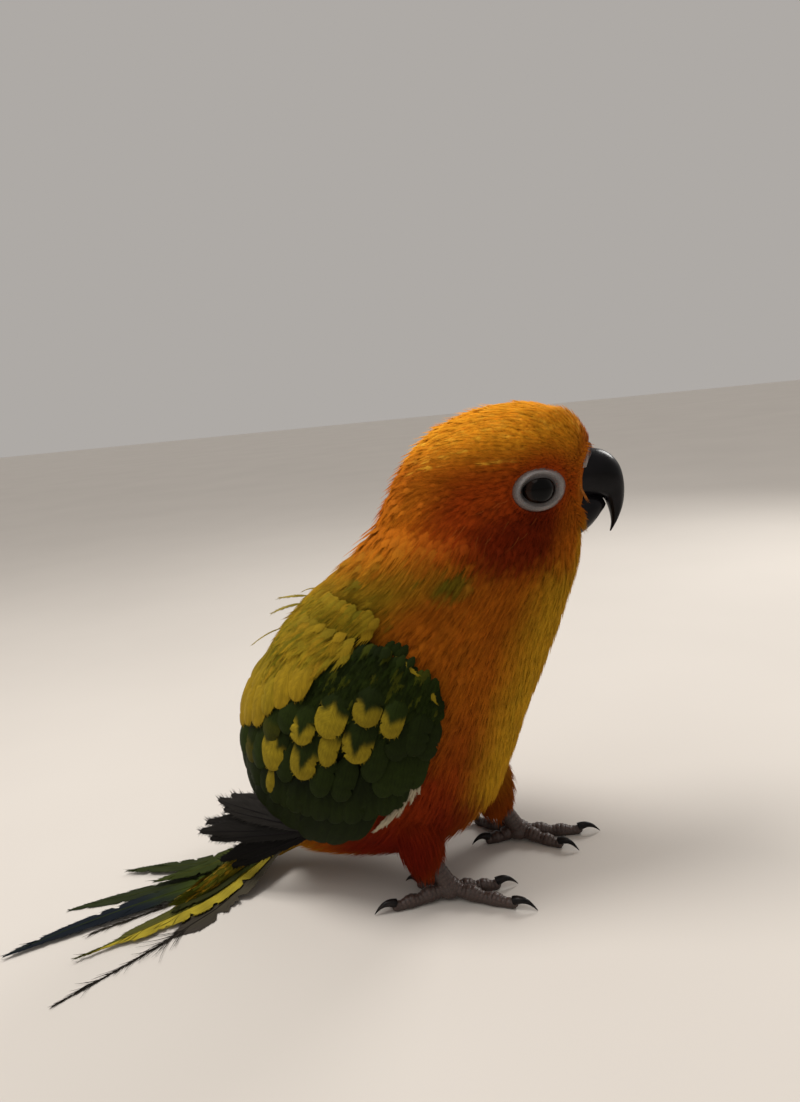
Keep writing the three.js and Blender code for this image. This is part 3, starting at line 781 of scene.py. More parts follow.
FEATHER_TREE = feather_tree()
BAKE_PATCH = 0.003
PATTERNS = {
    "plume": pattern_collection("plume", 3, 14, 0.62, 0.46, 0.09, 0.15),
    "face": pattern_collection("face_plume", 5, 10, 0.5, 0.58, 0.1, 0.1),
    "covert": pattern_collection("covert", 7, 14, 0.78, 0.26, 0.12, 0.35),
    "down": pattern_collection("down", 9, 15, 0.5, 0.6, 0.1, 0.1),
    "scapular": pattern_collection("scapular", 13, 14, 0.76, 0.3, 0.09, 0.3),
}


def feathers(name, kind, points, ruffle, seed):
    """One coat piece from a table of feather places"""
    mesh = bpy.data.meshes.new(name + "_roots")
    mesh.from_pydata(metres(points["p"]).tolist(), [], [])
    for key in ("lie", "out", "size", "root"):
        attribute(mesh, key, points[key], "FLOAT_VECTOR")
    attribute(mesh, "coat", points["coat"])
    thing = placed(name + "_roots", mesh)
    modifier = thing.modifiers.new("feathers", "NODES")
    modifier.node_group = FEATHER_TREE
    values = {
        "Feathers": PATTERNS[kind],
        "Seed": seed,
        "Ruffle": ruffle,
        "Bake Patch": BAKE_PATCH,
        "Finish": PLUME_FINISH,
    }
    for item in FEATHER_TREE.interface.items_tree:
        if item.in_out == "INPUT" and item.name in values:
            modifier[item.identifier] = values[item.name]
    bpy.context.view_layer.update()
    graph = bpy.context.evaluated_depsgraph_get()
    done = thing.evaluated_get(graph)
    made = bpy.data.meshes.new_from_object(done, preserve_all_data_layers=True, depsgraph=graph)
    bpy.data.objects.remove(thing)
    made.name = name
    piece(name, made)


def angle_of(angle):
    """An angle in degrees from -180 to 180"""
    return np.degrees((angle + np.pi) % (2 * np.pi) - np.pi)


# The wing bulges furthest forward at its bend, and falls back above it and below it.
BEND_OF_WING, FRONT_AT_BEND = 7.1, 66


def wing_front(t):
    """The folded wing's front edge, in degrees round the body: a round shoulder over a slanting lower edge"""
    above = 25 * np.abs((t - BEND_OF_WING) / 1.53) ** 4
    below = 21 * np.abs((BEND_OF_WING - t) / 2.1) ** 2
    return FRONT_AT_BEND + np.where(t > BEND_OF_WING, above, below)


def by_the_wing(t, angle):
    """How near a place is to the folded wing's front edge: 1 on it, 0 at 16 degrees before it"""
    past = np.abs(angle_of(angle)) - wing_front(np.clip(t, 4.9, 8.6))
    return smooth(-17, 1, past) * (1 - smooth(8, 20, past)) * smooth(4.2, 5.0, t) * (1 - smooth(8.4, 9.2, t))


def sway(p, size=9.0):
    """A slow wave over the coat, from -1 to 1, that bends its lie and its colour"""
    x, y, z = (p[..., i] / size for i in range(3))
    first = np.sin(x * 1.3 + 1.7 * np.sin(y * 1.1 + z))
    second = np.sin(z * 1.9 - 1.2 * np.sin(x + y * 0.7))
    return (first + second + np.sin(y * 2.3 + z * 0.8)) / 3


def lie_of(p, normal, down, around, t, angle, rng):
    """Which way the feathers lie: away from the bill on the head, down the body elsewhere"""
    away = unit(p - turned(BILL_ROOT[None, :], 1.0)[0])
    way = blend(down, away, smooth(10.4, 13.0, t))
    way = unit(way - normal * (way * normal).sum(-1, keepdims=True))
    side = np.cross(normal, way)
    own = turned(p, back=True)
    cheek = np.exp(-(((own[:, 0] - 9) / 9) ** 2) - ((own[:, 2] - 101) / 7) ** 2)
    bend = 0.1 * sway(p) + 0.06 * sway(p, 4.0) + cheek * (0.22 * sway(p, 3.0) + rng.normal(0, 0.1, len(p)))
    bend = bend + 0.4 * by_the_wing(t, angle) * np.sign(np.sin(angle)) * np.sign((side * around).sum(-1))
    return unit(way + side * bend[:, None])


def lie_at(p, normal, down, around, t, angle, rng):
    """Which way one feather lies"""
    one = np.array([t]), np.array([angle])
    return lie_of(p[None], normal[None], down[None], around[None], *one, rng)[0]


def rows_over(point, t_from, t_to, length, width, rng, row=0.3, column=0.5):
    """Rows of feather roots from the head's end down, each set on from the last, with some disorder"""
    ring = np.linspace(0, 2 * np.pi, 60)
    places = []
    t, k = t_to, 0
    while t > t_from:
        here, ahead = point(np.full(60, t), ring), point(np.full(60, t - 0.05), ring)
        round_it = np.linalg.norm(np.diff(here, axis=0), axis=1).sum()
        per_slice = np.linalg.norm(ahead - here, axis=1).mean() / 0.05
        count = max(3, int(round_it / (width * column)))
        angle = (np.arange(count) + 0.618 * k + rng.uniform(-0.45, 0.45, count)) * 2 * np.pi / count
        step = row * length / max(per_slice, 1.0)
        places.append(np.stack([t + rng.uniform(-0.7, 0.7, count) * step, angle], -1))
        t -= step
        k += 1
    places = np.concatenate(places)
    places[:, 0] = np.clip(places[:, 0], t_from + 0.02, t_to)
    return places


def root_on_unwrap(t, angle, span=TOP):
    """A feather root's place on the unwrap of the skin: across it once round, and up it by slice"""
    return 0.01 + 0.98 * ((angle / (2 * np.pi)) % 1.0), 0.01 + 0.98 * np.clip(t / span, 0, 1), 0.0 * t


def coat_points(point, places, length, width, rng, keep=None, colour=plumage, depth=None, raise_tip=None,
                grow=None, span=TOP):
    """The table of feather places that the node tree reads"""
    t, angle = places.T
    depth = coat_depth(t) if depth is None else np.full(len(t), depth)
    outer, normal, down, around = surface(point, t, angle)
    if keep is not None:
        kept = rng.random(len(t)) < keep(outer, t, angle_of(angle))
        t, angle, depth = t[kept], angle[kept], depth[kept]
        outer, normal, down, around = outer[kept], normal[kept], down[kept], around[kept]
    n = len(t)
    lie = lie_of(outer, normal, down, around, t, angle, rng) if point is body_point else down
    size = rng.uniform(0.88, 1.12, n) * (1 if grow is None else grow(outer, t))
    lift = depth * (1 if raise_tip is None else raise_tip(outer, t, angle, rng))
    pitch = np.arcsin(np.clip(lift / (length * size), 0, 0.6))[:, None]
    paint = colour(outer)
    lighter = rng.normal(1.0, 0.045, (n, 1))
    tinted = 1 + rng.normal(0, 0.02, (n, 3))
    shade = lighter * tinted * (1 + 0.07 * sway(outer, 5.0))[:, None]
    return {
        "p": outer - normal * depth[:, None] * 0.96,
        "lie": lie * np.cos(pitch) + normal * np.sin(pitch),
        "out": normal,
        "size": np.stack([length * size, width * size, length * size], -1) * 0.001,
        "coat": np.clip(paint * shade, 0, 1),
        "root": np.stack(root_on_unwrap(t, angle, span), -1),
    }


# How far forward the feathers reach at the bill's base, by height from the chin up to the forehead
BILL_EDGE_Z = (94, 98, 102, 105, 107, 111, 115, 118, 121)
BILL_EDGE_X = (29.5, 28.5, 27.5, 26.6, 25.4, 25.0, 26.4, 29.4, 31.8)


def bill_edge(z):
    return np.interp(z, BILL_EDGE_Z, BILL_EDGE_X)


def open_places(p, t, angle):
    """No feathers grow on the bill's base, in the bare rings round the eyes or under the folded wings"""
    own = turned(p, back=True)
    x, y, z = own[:, 0], np.abs(own[:, 1]), own[:, 2]
    ring = np.sqrt(((x - EYE_X) / 6.4) ** 2 + ((z - EYE_Z) / 4.95) ** 2)
    grows = (ring > 1.0) | (y < 8)
    bill = (x > bill_edge(z) - 0.6) & (z > 95) & (z < 119.6) & (y < 8.5)
    a = np.abs(angle)
    under_wing = (a > wing_front(np.clip(t, 4.6, 8.6)) + 4) & (a < 142) & (t > 4.7) & (t < 8.2)
    return (grows & ~bill & ~under_wing).astype(float)


def face_share(p):
    """How far a place belongs to the face, with its smallest feathers"""
    own = turned(p, back=True)
    x, z = own[:, 0], own[:, 2]
    return smooth(7, 16, x) * smooth(95, 100, z) * (1 - smooth(120, 126, z))


def ruffled(p, t, angle, rng):
    """Most feathers lie close; some tips stand off at the nape and beside the wing"""
    behind = smooth(120, 160, np.abs(angle_of(angle))) * smooth(9.5, 11, t) * (1 - smooth(15.5, 16.5, t))
    loose = rng.random(len(t)) < 0.2 * behind + 0.012 * (np.abs(angle_of(angle)) > 60)
    return 1.0 + loose * rng.uniform(0.4, 1.0 + 0.7 * behind) + 0.8 * by_the_wing(t, angle)


coat_rng = np.random.default_rng(41)


def body_coat(name, kind, t_from, t_to, length, width, seed, ruffle=0.05, keep=None, colour=plumage,
              grow=None):
    """The coat between two slices of the body, in feathers of one kind"""
    places = rows_over(body_point, t_from, t_to, length, width, coat_rng)

    def kept(p, t, angle):
        share = open_places(p, t, angle)
        return share if keep is None else share * keep(p, t, angle)

    table = coat_points(body_point, places, length, width, coat_rng, kept, colour, None, ruffled, grow)
    feathers(name, kind, table, ruffle, seed)


# Green flecks of the mantle and the neck's sides: slice, degrees round the body, size in millimetres
FLECKS = (
    (9.68, 158, 2.4),
    (9.41, 147.5, 2.0),
    (9.63, 129.6, 3.0),
    (8.9, 107, 2.6),
    (8.54, 168.5, 2.2),
    (9.9, 118, 1.8),
    (10.35, 97, 2.7),
    (9.1, 136, 1.6),
    (9.95, 143, 1.7),
)


def flecked(p):
    """The plumage with soft green flecks over the mantle and the sides of the neck"""
    colour = plumage(p)
    for t, angle, size in FLECKS:
        for side in SIDES:
            at, *_ = surface(body_point, t, np.radians(side * angle))
            near = np.exp(-((np.linalg.norm(p - at, axis=1) / size) ** 2))
            share = 0.65 * near * coat_rng.uniform(0.3, 1.0, len(p))
            colour = blend(colour, blend(OLIVE, GREEN, 0.25), share)
    own = turned(p, back=True)
    x, z = own[:, 0], own[:, 2]
    mantle = 1 - smooth(22, 36, x - np.interp(z, BACK_Z, BACK_X))
    where = mantle * smooth(56, 70, z) * (1 - smooth(92, 100, z))
    return blend(colour, OLIVE, 0.5 * (coat_rng.random(len(p)) < 0.09 * where))


def tipped(p):
    """The crown's plumage, in which many feathers are a little yellower than their neighbours"""
    colour = plumage(p)
    chosen = coat_rng.random(len(p)) < 0.25 * smooth(114, 124, p[:, 2])
    return blend(colour, CROWN_TIP, chosen * coat_rng.uniform(0.15, 0.7, len(p)) ** 1.5)


def longer_behind(p, t):
    """Feathers of the mantle are longer than those of the breast"""
    own = turned(p, back=True)
    return 1 + 0.3 * (1 - smooth(12, 34, own[:, 0] - np.interp(own[:, 2], BACK_Z, BACK_X)))


def on_face(p, t, angle):
    return face_share(p)


def off_face(p, t, angle):
    return 1 - face_share(p)


body_coat("coat_face", "face", 11.2, 15.8, 2.7, 1.1, 11, 0.06, on_face)
body_coat("coat_crown", "plume", 13.6, TOP - 0.12, 4.0, 1.55, 12, 0.035, off_face, tipped)
body_coat("coat_nape", "plume", 11.5, 13.6, 4.8, 1.8, 22, 0.05, off_face, tipped)
body_coat("coat_neck", "plume", 9.7, 11.8, 6.4, 2.4, 13, colour=flecked, grow=longer_behind)
body_coat("coat_breast", "plume", 8.6, 9.9, 7.4, 2.9, 14, colour=flecked, grow=longer_behind)
body_coat("coat_mantle", "plume", 7.2, 8.7, 7.8, 3.1, 24, colour=flecked, grow=longer_behind)
body_coat("coat_belly", "plume", 4.4, 7.4, 8.2, 3.2, 15, colour=flecked)
body_coat("coat_flank", "down", 2.0, 4.6, 8.2, 3.2, 16, 0.08)
body_coat("coat_rump", "plume", 0.3, 2.2, 7.8, 3.0, 17, 0.06)


def head_place(x, z):
    """The slice and the angle in degrees of a place on the head, from how far forward and how high it is"""
    t, angle = 12.5, 45.0
    for _ in range(240):
        here = slice_point(BODY, np.array(t), np.radians(angle))
        t = float(np.clip(t + 0.05 * (z - here[2]), 10.5, TOP - 0.4))
        angle = float(np.clip(angle + 0.8 * (here[0] - x), 2, 170))
    return t, angle


# Which way the turned head faces
HEAD_FORWARD = turned(np.array([[NECK_AXIS_X + 1, 0.0, 0.0]]), 1.0)[0] - np.array([NECK_AXIS_X, 0.0, 0.0])

# The bill's feathered edge, the low stretch of it with a second row, and the tuft over the gape, which
# runs down in a crescent from under the eye
MARGIN_FROM_Z, MARGIN_TO_Z, MARGIN_COUNT = 98.5, 120.5, 74
CHIN_FROM_Z, CHIN_HEIGHT, CHIN_COUNT = 98.9, 5.1, 44
CRESCENT_TOP, GAPE, CRESCENT_COUNT = (25.7, 7.7, 111.8), (29.3, 6.2, 104.6), 30
CRESCENT_X, CRESCENT_Z = 25.5, 106.0
GAPE_PALE = linear("#c8813f")
EYE_EDGE_COUNT = 96


class Places:
    """Gathers feathers that are set one by one into the table that the node tree reads"""

    def __init__(self):
        self.rows = {key: [] for key in ("p", "lie", "out", "size", "coat", "root")}

    def add(self, p, lie, normal, length, width, paint, root):
        values = (p, lie, normal, np.array([length, width, length]) * 0.001, paint, root)
        for key, value in zip(self.rows, values):
            self.rows[key].append(value)

    def table(self):
        return {key: np.array(values) for key, values in self.rows.items()}


def edge_feather(places, rng, side, x, z):
    """A small feather that leans forward on to the bill's base"""
    t, angle = head_place(x, z)
    around_body = np.radians(side * angle)
    p, normal, down, _ = surface(body_point, t, around_body, -0.6)
    low = 1 - smooth(98, 108, z)
    lie = unit(HEAD_FORWARD * (0.75 - 0.1 * low) + down * (0.35 + 0.75 * low) + normal * (0.35 - 0.2 * low))
    length = rng.uniform(1.5, 2.3) + 0.7 * low
    paint = plumage(p[None])[0] * rng.uniform(0.9, 1.12)
    places.add(p, lie, normal, length, 0.75, paint, root_on_unwrap(t, around_body))


def gape_feather(places, rng, side, share):
    """A pale feather of the tuft that hooks over the gape, from a share of the way down its crescent"""
    t, angle = head_place(CRESCENT_X, CRESCENT_Z)
    around_body = np.radians(side * angle)
    under, normal, _, _ = surface(body_point, t, around_body, -0.6)
    # This draw has no use of its own. It keeps all later draws as they are.
    rng.uniform(1.5, 2.3)
    paint = blend(plumage(under[None])[0], GAPE_PALE, 0.7)
    top, gape = turned(np.array([CRESCENT_TOP, GAPE]) * (1, side, 1), 1.0)
    p = top + (gape - top) * 0.72 * share + rng.normal(0, 0.3 * (1 - share) + 0.06, 3) * (1, 0.3, 1)
    aim = gape + rng.normal(0, 0.22, 3)
    length = min(np.linalg.norm(aim - p), 3.0) * rng.uniform(0.8, 1.0)
    lie = unit(unit(aim - p) + normal * 0.12)
    places.add(p, lie, normal, length, 0.55, paint * rng.uniform(0.9, 1.12), root_on_unwrap(t, around_body))


def shares(count):
    """The middles of equal steps from 0 to 1"""
    return [(k + 0.5) / count for k in range(count)]


def bill_margin():
    """Small feathers that lean on to the bill's base, and a tuft on each side that hooks over the gape"""
    rng = coat_rng
    spots = {}
    for side in SIDES:
        edge = [MARGIN_FROM_Z + (MARGIN_TO_Z - MARGIN_FROM_Z) * f for f in shares(MARGIN_COUNT)]
        edge = [(bill_edge(z) - rng.uniform(0.3, 1.7), z) for z in edge]
        chin = [CHIN_FROM_Z + CHIN_HEIGHT * f for f in shares(CHIN_COUNT)]
        chin = [(bill_edge(z) + rng.uniform(-0.9, 0.5), z) for z in chin]
        spots[side] = edge, chin
    places = Places()
    for side, (edge, chin) in spots.items():
        for x, z in edge:
            edge_feather(places, rng, side, x, z)
        for share in shares(CRESCENT_COUNT):
            gape_feather(places, rng, side, share)
        for x, z in chin:
            edge_feather(places, rng, side, x, z)
    feathers("coat_bill_edge", "face", places.table(), 0.12, 51)


def eye_margin():
    """Tiny feathers that lean over the rim of the bare ring round each eye"""
    rng = np.random.default_rng(52)
    places = Places()
    for side in SIDES:
        t, angle = head_place(EYE_X, EYE_Z)
        middle, *_ = surface(body_point, t, np.radians(side * angle))
        for k in range(EYE_EDGE_COUNT):
            ring = 2 * np.pi * (k + rng.uniform(-0.5, 0.5)) / EYE_EDGE_COUNT
            before = 0.5 + 0.5 * np.cos(ring)
            x = EYE_X + (7.25 + 0.45 * before) * np.cos(ring)
            z = EYE_Z + (5.5 + 0.4 * before) * np.sin(ring)
            t, angle = head_place(x, z)
            around_body = np.radians(side * angle)
            p, normal, down, around = surface(body_point, t, around_body, -0.5)
            away = lie_at(p, normal, down, around, t, around_body, rng)
            lie = unit(away * 0.8 + unit(middle - p) * 0.45 * before + normal * 0.32)
            length = rng.uniform(1.3, 2.0)
            paint = plumage(p[None])[0] * rng.uniform(0.82, 1.05)
            places.add(p, lie, normal, length, 0.62, paint, root_on_unwrap(t, around_body))
    feathers("coat_eye_edge", "face", places.table(), 0.12, 53)


def risen(p, t, angle, rng):
    return rng.uniform(0.9, 1.5, len(t))


def thigh_coat(side):
    """The loose coat of one thigh"""
    shape = thigh_point(side)
    places = rows_over(shape, 0.45, 3.9, 5.6, 2.2, coat_rng, 0.32, 0.6)
    table = coat_points(shape, places, 5.6, 2.2, coat_rng, depth=THIGH_COAT_DEPTH, raise_tip=risen, span=4.0)
    feathers(f"coat_thigh_{SIDES[side]}", "down", table, 0.08, 20 + side)


bill_margin()
eye_margin()
for side in SIDES:
    thigh_coat(side)


# Large feathers of the wings and the tail
def quill(build, p, normal, side, width, paint, rng, thick=0.2, camber=0.12, uneven=0.0, notches=(),
          across=10, rachis=0.16, rachis_paint=None, fringe=0.7):
    """One large feather along a path: a curved vane with a raised shaft, split edges and loose barb ends"""
    rows = len(p)
    s = np.linspace(0, 1, rows)
    u = np.linspace(-1, 1, across + 1)
    half = np.asarray(width, float) / 2
    edge = np.ones((rows, 2))
    for at, deep, which in notches:
        edge[:, which] *= 1 - deep * np.exp(-(((s - at) / min(0.022, 0.8 / rows)) ** 2))
    share = np.where(u[None, :] < 0, edge[:, :1] * (1 + uneven), edge[:, 1:] * (1 - uneven))
    reach = share * half[:, None]
    offset = u[None, :] * reach
    rise = camber * half[:, None] * (1 - u[None, :] ** 2) - 0.05 * np.abs(u[None, :])
    top = p[:, None, :] + side[:, None, :] * offset[..., None] + normal[:, None, :] * rise[..., None]
    inner = slice(1, across)
    bottom = top[:, inner] - normal[:, None, :] * thick
    columns = across + 1
    points = np.concatenate([top.reshape(-1, 3), bottom.reshape(-1, 3)])
    base = rows * columns

    def low(i, k):
        return i * columns + k if k in (0, across) else base + i * (across - 1) + k - 1

    faces = []
    for i in range(rows - 1):
        for k in range(across):
            a = i * columns + k
            faces.append((a, a + columns, a + columns + 1, a + 1))
            faces.append((low(i, k), low(i, k + 1), low(i + 1, k + 1), low(i + 1, k)))
    faces.append(tuple(range(columns)) + tuple(low(0, k) for k in range(across - 1, 0, -1)))
    end = (rows - 1) * columns
    faces.append(tuple(range(end + across, end - 1, -1)) + tuple(low(rows - 1, k) for k in range(1, across)))
    grid_s, grid_u = np.meshgrid(s, u, indexing="ij")
    vane_top = np.stack([grid_s, grid_u / 2 + 0.5, np.zeros_like(grid_s)], -1)
    vane = np.concatenate([vane_top.reshape(-1, 3), vane_top[:, inner].reshape(-1, 3)])
    colour = paint(grid_s, grid_u)
    colours = np.concatenate([colour.reshape(-1, 3), 0.8 * colour[:, inner].reshape(-1, 3)])
    # The shaft is a thin ridge along the middle.
    sides = 6
    ring = ring_of(sides)
    radius = rachis * (1 - 0.8 * s)[:, None]
    centre = p + normal * (camber * half - 0.05)[:, None]
    sideways = side[:, None, :] * (np.cos(ring)[None, :] * radius)[..., None]
    upwards = normal[:, None, :] * (np.sin(ring)[None, :] * radius * 0.8)[..., None]
    shaft_points = centre[:, None, :] + sideways + upwards
    start = len(points)
    points = np.concatenate([points, shaft_points.reshape(-1, 3)])
    faces += tube_faces(rows, sides, start)
    vane = np.concatenate([vane, np.repeat(np.stack([s, 0 * s + 0.5, 0 * s], -1), sides, 0)])
    if rachis_paint is None:
        rachis_paint = colour[:, across // 2] * 0.85
    rachis_paint = np.broadcast_to(rachis_paint, (rows, 3))
    colours = np.concatenate([colours, np.repeat(rachis_paint, sides, 0)])
    tips, tip_faces, tip_colours, tip_vane = barb_ends(rng, p, normal, side, reach, fringe, paint)
    faces += [tuple(i + len(points) for i in f) for f in tip_faces]
    points = np.concatenate([points, tips])
    colours = np.concatenate([colours, tip_colours])
    vane = np.concatenate([vane, tip_vane])
    build.add(points, faces, colours, vane)


def barb_ends(rng, p, normal, side, reach, fringe, paint):
    """Loose ends of barbs along both edges of a vane, slanting towards its tip"""
    rows = len(p)
    count = max(8, int(2 * np.linalg.norm(np.diff(p, axis=0), axis=1).sum() / 0.5))
    s = np.clip(rng.beta(1.6, 1.0, count), 0.05, 0.995)
    hand = np.where(np.arange(count) % 2, 1.0, -1.0)
    place = s * (rows - 1)
    index = np.arange(rows)

    def sample(values):
        return np.stack([np.interp(place, index, values[:, j]) for j in range(3)], -1)

    one_edge = np.interp(place, index, reach[:, -1])
    other_edge = np.interp(place, index, reach[:, 0])
    limit = np.where(hand > 0, one_edge, other_edge)
    ahead = unit(sample(np.gradient(p, axis=0)))
    out, across = sample(normal), sample(side)
    way = unit(ahead + across * (hand * rng.uniform(0.35, 0.75, count))[:, None])
    root = sample(p) + across * (hand * np.maximum(limit - 0.3, 0))[:, None] - out * 0.08
    tip = root + way * (0.3 + fringe * rng.uniform(0.4, 1.2, count))[:, None]
    tip = tip - out * rng.uniform(0.0, 0.12, (count, 1))
    wide = np.cross(out, way) * 0.12
    points = np.stack([root - wide, root + wide, root + out * 0.12, tip], 1).reshape(-1, 3)
    faces = []
    for a in range(0, 4 * count, 4):
        faces += [(a, a + 1, a + 2), (a, a + 2, a + 3), (a + 2, a + 1, a + 3), (a + 1, a, a + 3)]
    colours = np.repeat(paint(s, hand) * rng.uniform(0.85, 1.15, (count, 1)), 4, 0)
    vane = np.repeat(np.stack([s, hand / 2 + 0.5, 0 * s], -1), 4, 0)
    return points, faces, np.clip(colours, 0, 1), vane


def outline(kind, s):
    """A vane's width along its length, as a share of its full width"""
    if kind == "round":
        end = np.clip(1 - np.clip((s - 0.62) / 0.385, 0, 1) ** 2.4, 0, 1)
        return (0.35 + 0.65 * smooth(0, 0.35, s)) * np.sqrt(end)
    if kind == "pointed":
        end = np.clip(1 - np.clip((s - 0.5) / 0.503, 0, 1) ** 1.7, 0, 1)
        return (0.3 + 0.7 * smooth(0, 0.3, s)) * end**0.8
    narrowed = (0.35 + 0.65 * smooth(0, 0.3, s)) * (1 - 0.62 * smooth(0.72, 0.97, s))
    return narrowed * np.sqrt(np.clip((1.003 - s) / 0.03, 0, 1))


def worn(rng, count, deepest):
    """Splits in a vane's edge: where along it, how deep, and on which side of the shaft"""
    return [(rng.uniform(0.3, 0.97), rng.uniform(0.15, deepest), rng.integers(0, 2)) for _ in range(count)]


def wing_lift(t, angle):
    """How far the folded wing stands off the body"""
    a = np.clip((t - 3.7) / 5.1, 0, 1)
    b = np.clip((angle - 64) / 92, 0, 1)
    return 0.9 + 3.0 * np.clip(16 * a * (1 - a) * b * (1 - b), 0, 1) ** 0.5


def on_wing(side, root, tip, low, high, rows=22, bow=0.0):
    """A feather's path over the wing, from root to tip as (slice, degrees)"""
    s = np.linspace(0, 1, rows)
    t = root[0] + (tip[0] - root[0]) * s
    angle = root[1] + (tip[1] - root[1]) * s + bow * np.sin(np.pi * s)
    lift = wing_lift(t, angle) + low + (high - low) * smooth(0, 0.8, s)
    p, normal, down, around = surface(body_point, t, np.radians(side * angle), lift)
    along = unit(np.gradient(p, axis=0))
    across = unit(np.cross(normal, along))
    return p, unit(np.cross(along, across)), across


WING_CORE_FROM, WING_CORE_TO, WING_CORE_BACK = 4.0, 8.7, 154


def wing_core(build, side):
    """The dark body of the folded wing under its feathers"""
    rows, columns = 26, 20
    t = np.linspace(WING_CORE_FROM, WING_CORE_TO, rows)[:, None]
    share = np.linspace(0, 1, columns)[None, :]
    angle = wing_front(t) + (WING_CORE_BACK - wing_front(t)) * share
    a = np.linspace(0, 1, rows)[:, None]
    bulge = np.sqrt(np.clip(16 * a * (1 - a) * share * (1 - share), 0, None))
    outer, *_ = surface(body_point, t, np.radians(side * angle), -0.9 + 3.5 * bulge)
    inner, *_ = surface(body_point, t, np.radians(side * angle), -1.5)
    rings = np.concatenate([inner, outer[:, ::-1]], 1)
    build.add(rings, tube_faces(rows, 2 * columns), GREEN * 0.75)


def plain_paint(colour, tip=None, from_s=0.7, edge=None, edge_width=0.25, seed=0.0, wedge=0.0, soft=0.09):
    """A vane's colours: its own, its edge's and its tip's, which a wedge of its own may split at the shaft"""

    def paint(s, u):
        streak = 1 + 0.09 * np.sin(u * 23 + 9 * s + seed) + 0.06 * np.sin(np.abs(u) * 41 - 30 * s + seed * 2)
        out = np.broadcast_to(colour, (*np.shape(s), 3)) * streak[..., None]
        if edge is not None:
            out = blend(out, edge, 0.8 * smooth(1 - edge_width * 2, 1, np.abs(u)))
        if tip is not None:
            ragged = 0.02 * np.sin(u * 7 + seed * 3) + 0.012 * np.sin(u * 31 + seed)
            here = s + ragged - 0.24 * wedge * np.exp(-((u / 0.34) ** 2)) + 0.07 * np.abs(u)
            out = blend(out, tip * streak[..., None], smooth(from_s - soft, from_s + soft, here))
        return np.clip(out, 0, 1)

    return paint


# Tiers of the wing. Each feather's tip as (slice, degrees), its length in slices and its width.
SECONDARIES = [
    ((4.55, 77), 1.8, 6.5), ((4.15, 81), 2.1, 6.8), ((3.85, 86), 2.3, 7),
    ((3.65, 91), 2.4, 7.2), ((3.5, 96), 2.5, 7.2), ((3.42, 101), 2.5, 7.4),
    ((3.4, 106), 2.5, 7.4), ((3.42, 111), 2.5, 7.4), ((3.5, 116), 2.5, 7.2),
    ((3.6, 121), 2.4, 7.2), ((3.72, 126), 2.3, 7), ((3.88, 131), 2.3, 7),
    ((4.1, 137), 2.2, 6.8), ((4.35, 143), 2.0, 6.6), ((4.65, 149), 2.0, 6.4),
]
UPPER_SECONDARIES = [
    ((5.75, 70.5), 1.1, 5), ((5.55, 74), 1.2, 6), ((5.3, 78.5), 1.3, 6.2),
    ((5.1, 83), 1.4, 6.4), ((4.9, 88), 1.5, 6.6), ((4.78, 93), 1.5, 6.6),
    ((4.68, 98), 1.5, 6.6), ((4.6, 103), 1.5, 6.6), ((4.52, 108), 1.5, 6.6),
    ((4.48, 113), 1.5, 6.6), ((4.46, 120), 1.5, 6.6), ((4.45, 127), 1.4, 6.4),
    ((4.6, 134), 1.4, 6.2), ((4.8, 141), 1.4, 6.2),
]
# The two tiers of coverts carry the yellow tips: how strong, where it starts, and the green wedge in it.
PLAIN = (0, 0.6, 0)
GREATER = [
    ((6.3, 68.5), 1.0, 5.6, *PLAIN), ((6.1, 73), 1.1, 6.4, *PLAIN), ((5.95, 78), 1.1, 6.4, *PLAIN),
    ((6.2, 83.5), 1.2, 6.6, *PLAIN), ((5.5, 90), 1.1, 6.2, *PLAIN), ((5.4, 97), 1.1, 6.2, *PLAIN),
    ((5.25, 112), 1.1, 6.2, *PLAIN), ((5.1, 126), 1.2, 6.4, *PLAIN), ((5.0, 133), 1.2, 6.4, 0.2, 0.6, 0),
    ((4.95, 141), 1.2, 6.2, *PLAIN), ((4.72, 116.6), 0.9, 3.6, 0.85, 0.45, -0.6),
    ((6.46, 90), 1.25, 8.2, 1, 0.66, 0.75), ((6.12, 98.4), 1.2, 5.6, 1, 0.52, -0.3),
    ((5.58, 105.4), 1.35, 8, 1, 0.6, 0.9), ((5.3, 119.6), 1.4, 8.2, 1, 0.62, -0.9),
]
MEDIAN = [
    ((6.95, 68), 0.9, 5.6, *PLAIN), ((7.0, 73), 1.0, 6.6, *PLAIN), ((6.8, 78), 1.0, 6.4, *PLAIN),
    ((6.35, 116.5), 1.0, 6.6, *PLAIN), ((5.95, 123), 1.0, 6.4, 0.1, 0.6, 0),
    ((7.22, 82.6), 0.9, 5.8, 0.95, 0.6, 0.4), ((7.25, 91), 0.95, 7.4, 1, 0.6, 0.3),
    ((6.32, 109.6), 1.05, 7.4, 1, 0.6, 0.8), ((6.72, 101), 1.1, 8.4, 1, 0.56, -0.8),
]
# The lowest yellow feathers of the shoulder, which lie over the green in lobes
LOBES = [
    ((6.72, 124), 1.6, 7.6), ((6.42, 128.5), 1.6, 6), ((5.98, 133), 1.8, 7.2),
    ((5.8, 139), 1.8, 6.2), ((5.55, 146), 2.0, 6.8), ((7.1, 117.5), 1.3, 6.4),
]
# Two narrow yellow feathers at the bend of the wing, each from root to tip
BEND_FEATHERS = (((8.64, 92), (8.45, 82)), ((8.36, 78), (8.05, 71.2)))
# Degrees round the body, and the slice where yellow scapulars end and the green wing begins
GREEN_FROM = (
    (66, 72, 77.6, 83.7, 90.4, 99.4, 105.2, 110.4, 114.5, 124, 132, 147, 155),
    (8.1, 8.3, 8.44, 8.58, 8.65, 8.54, 8.27, 7.75, 7.3, 6.85, 6.2, 5.7, 5.5),
)
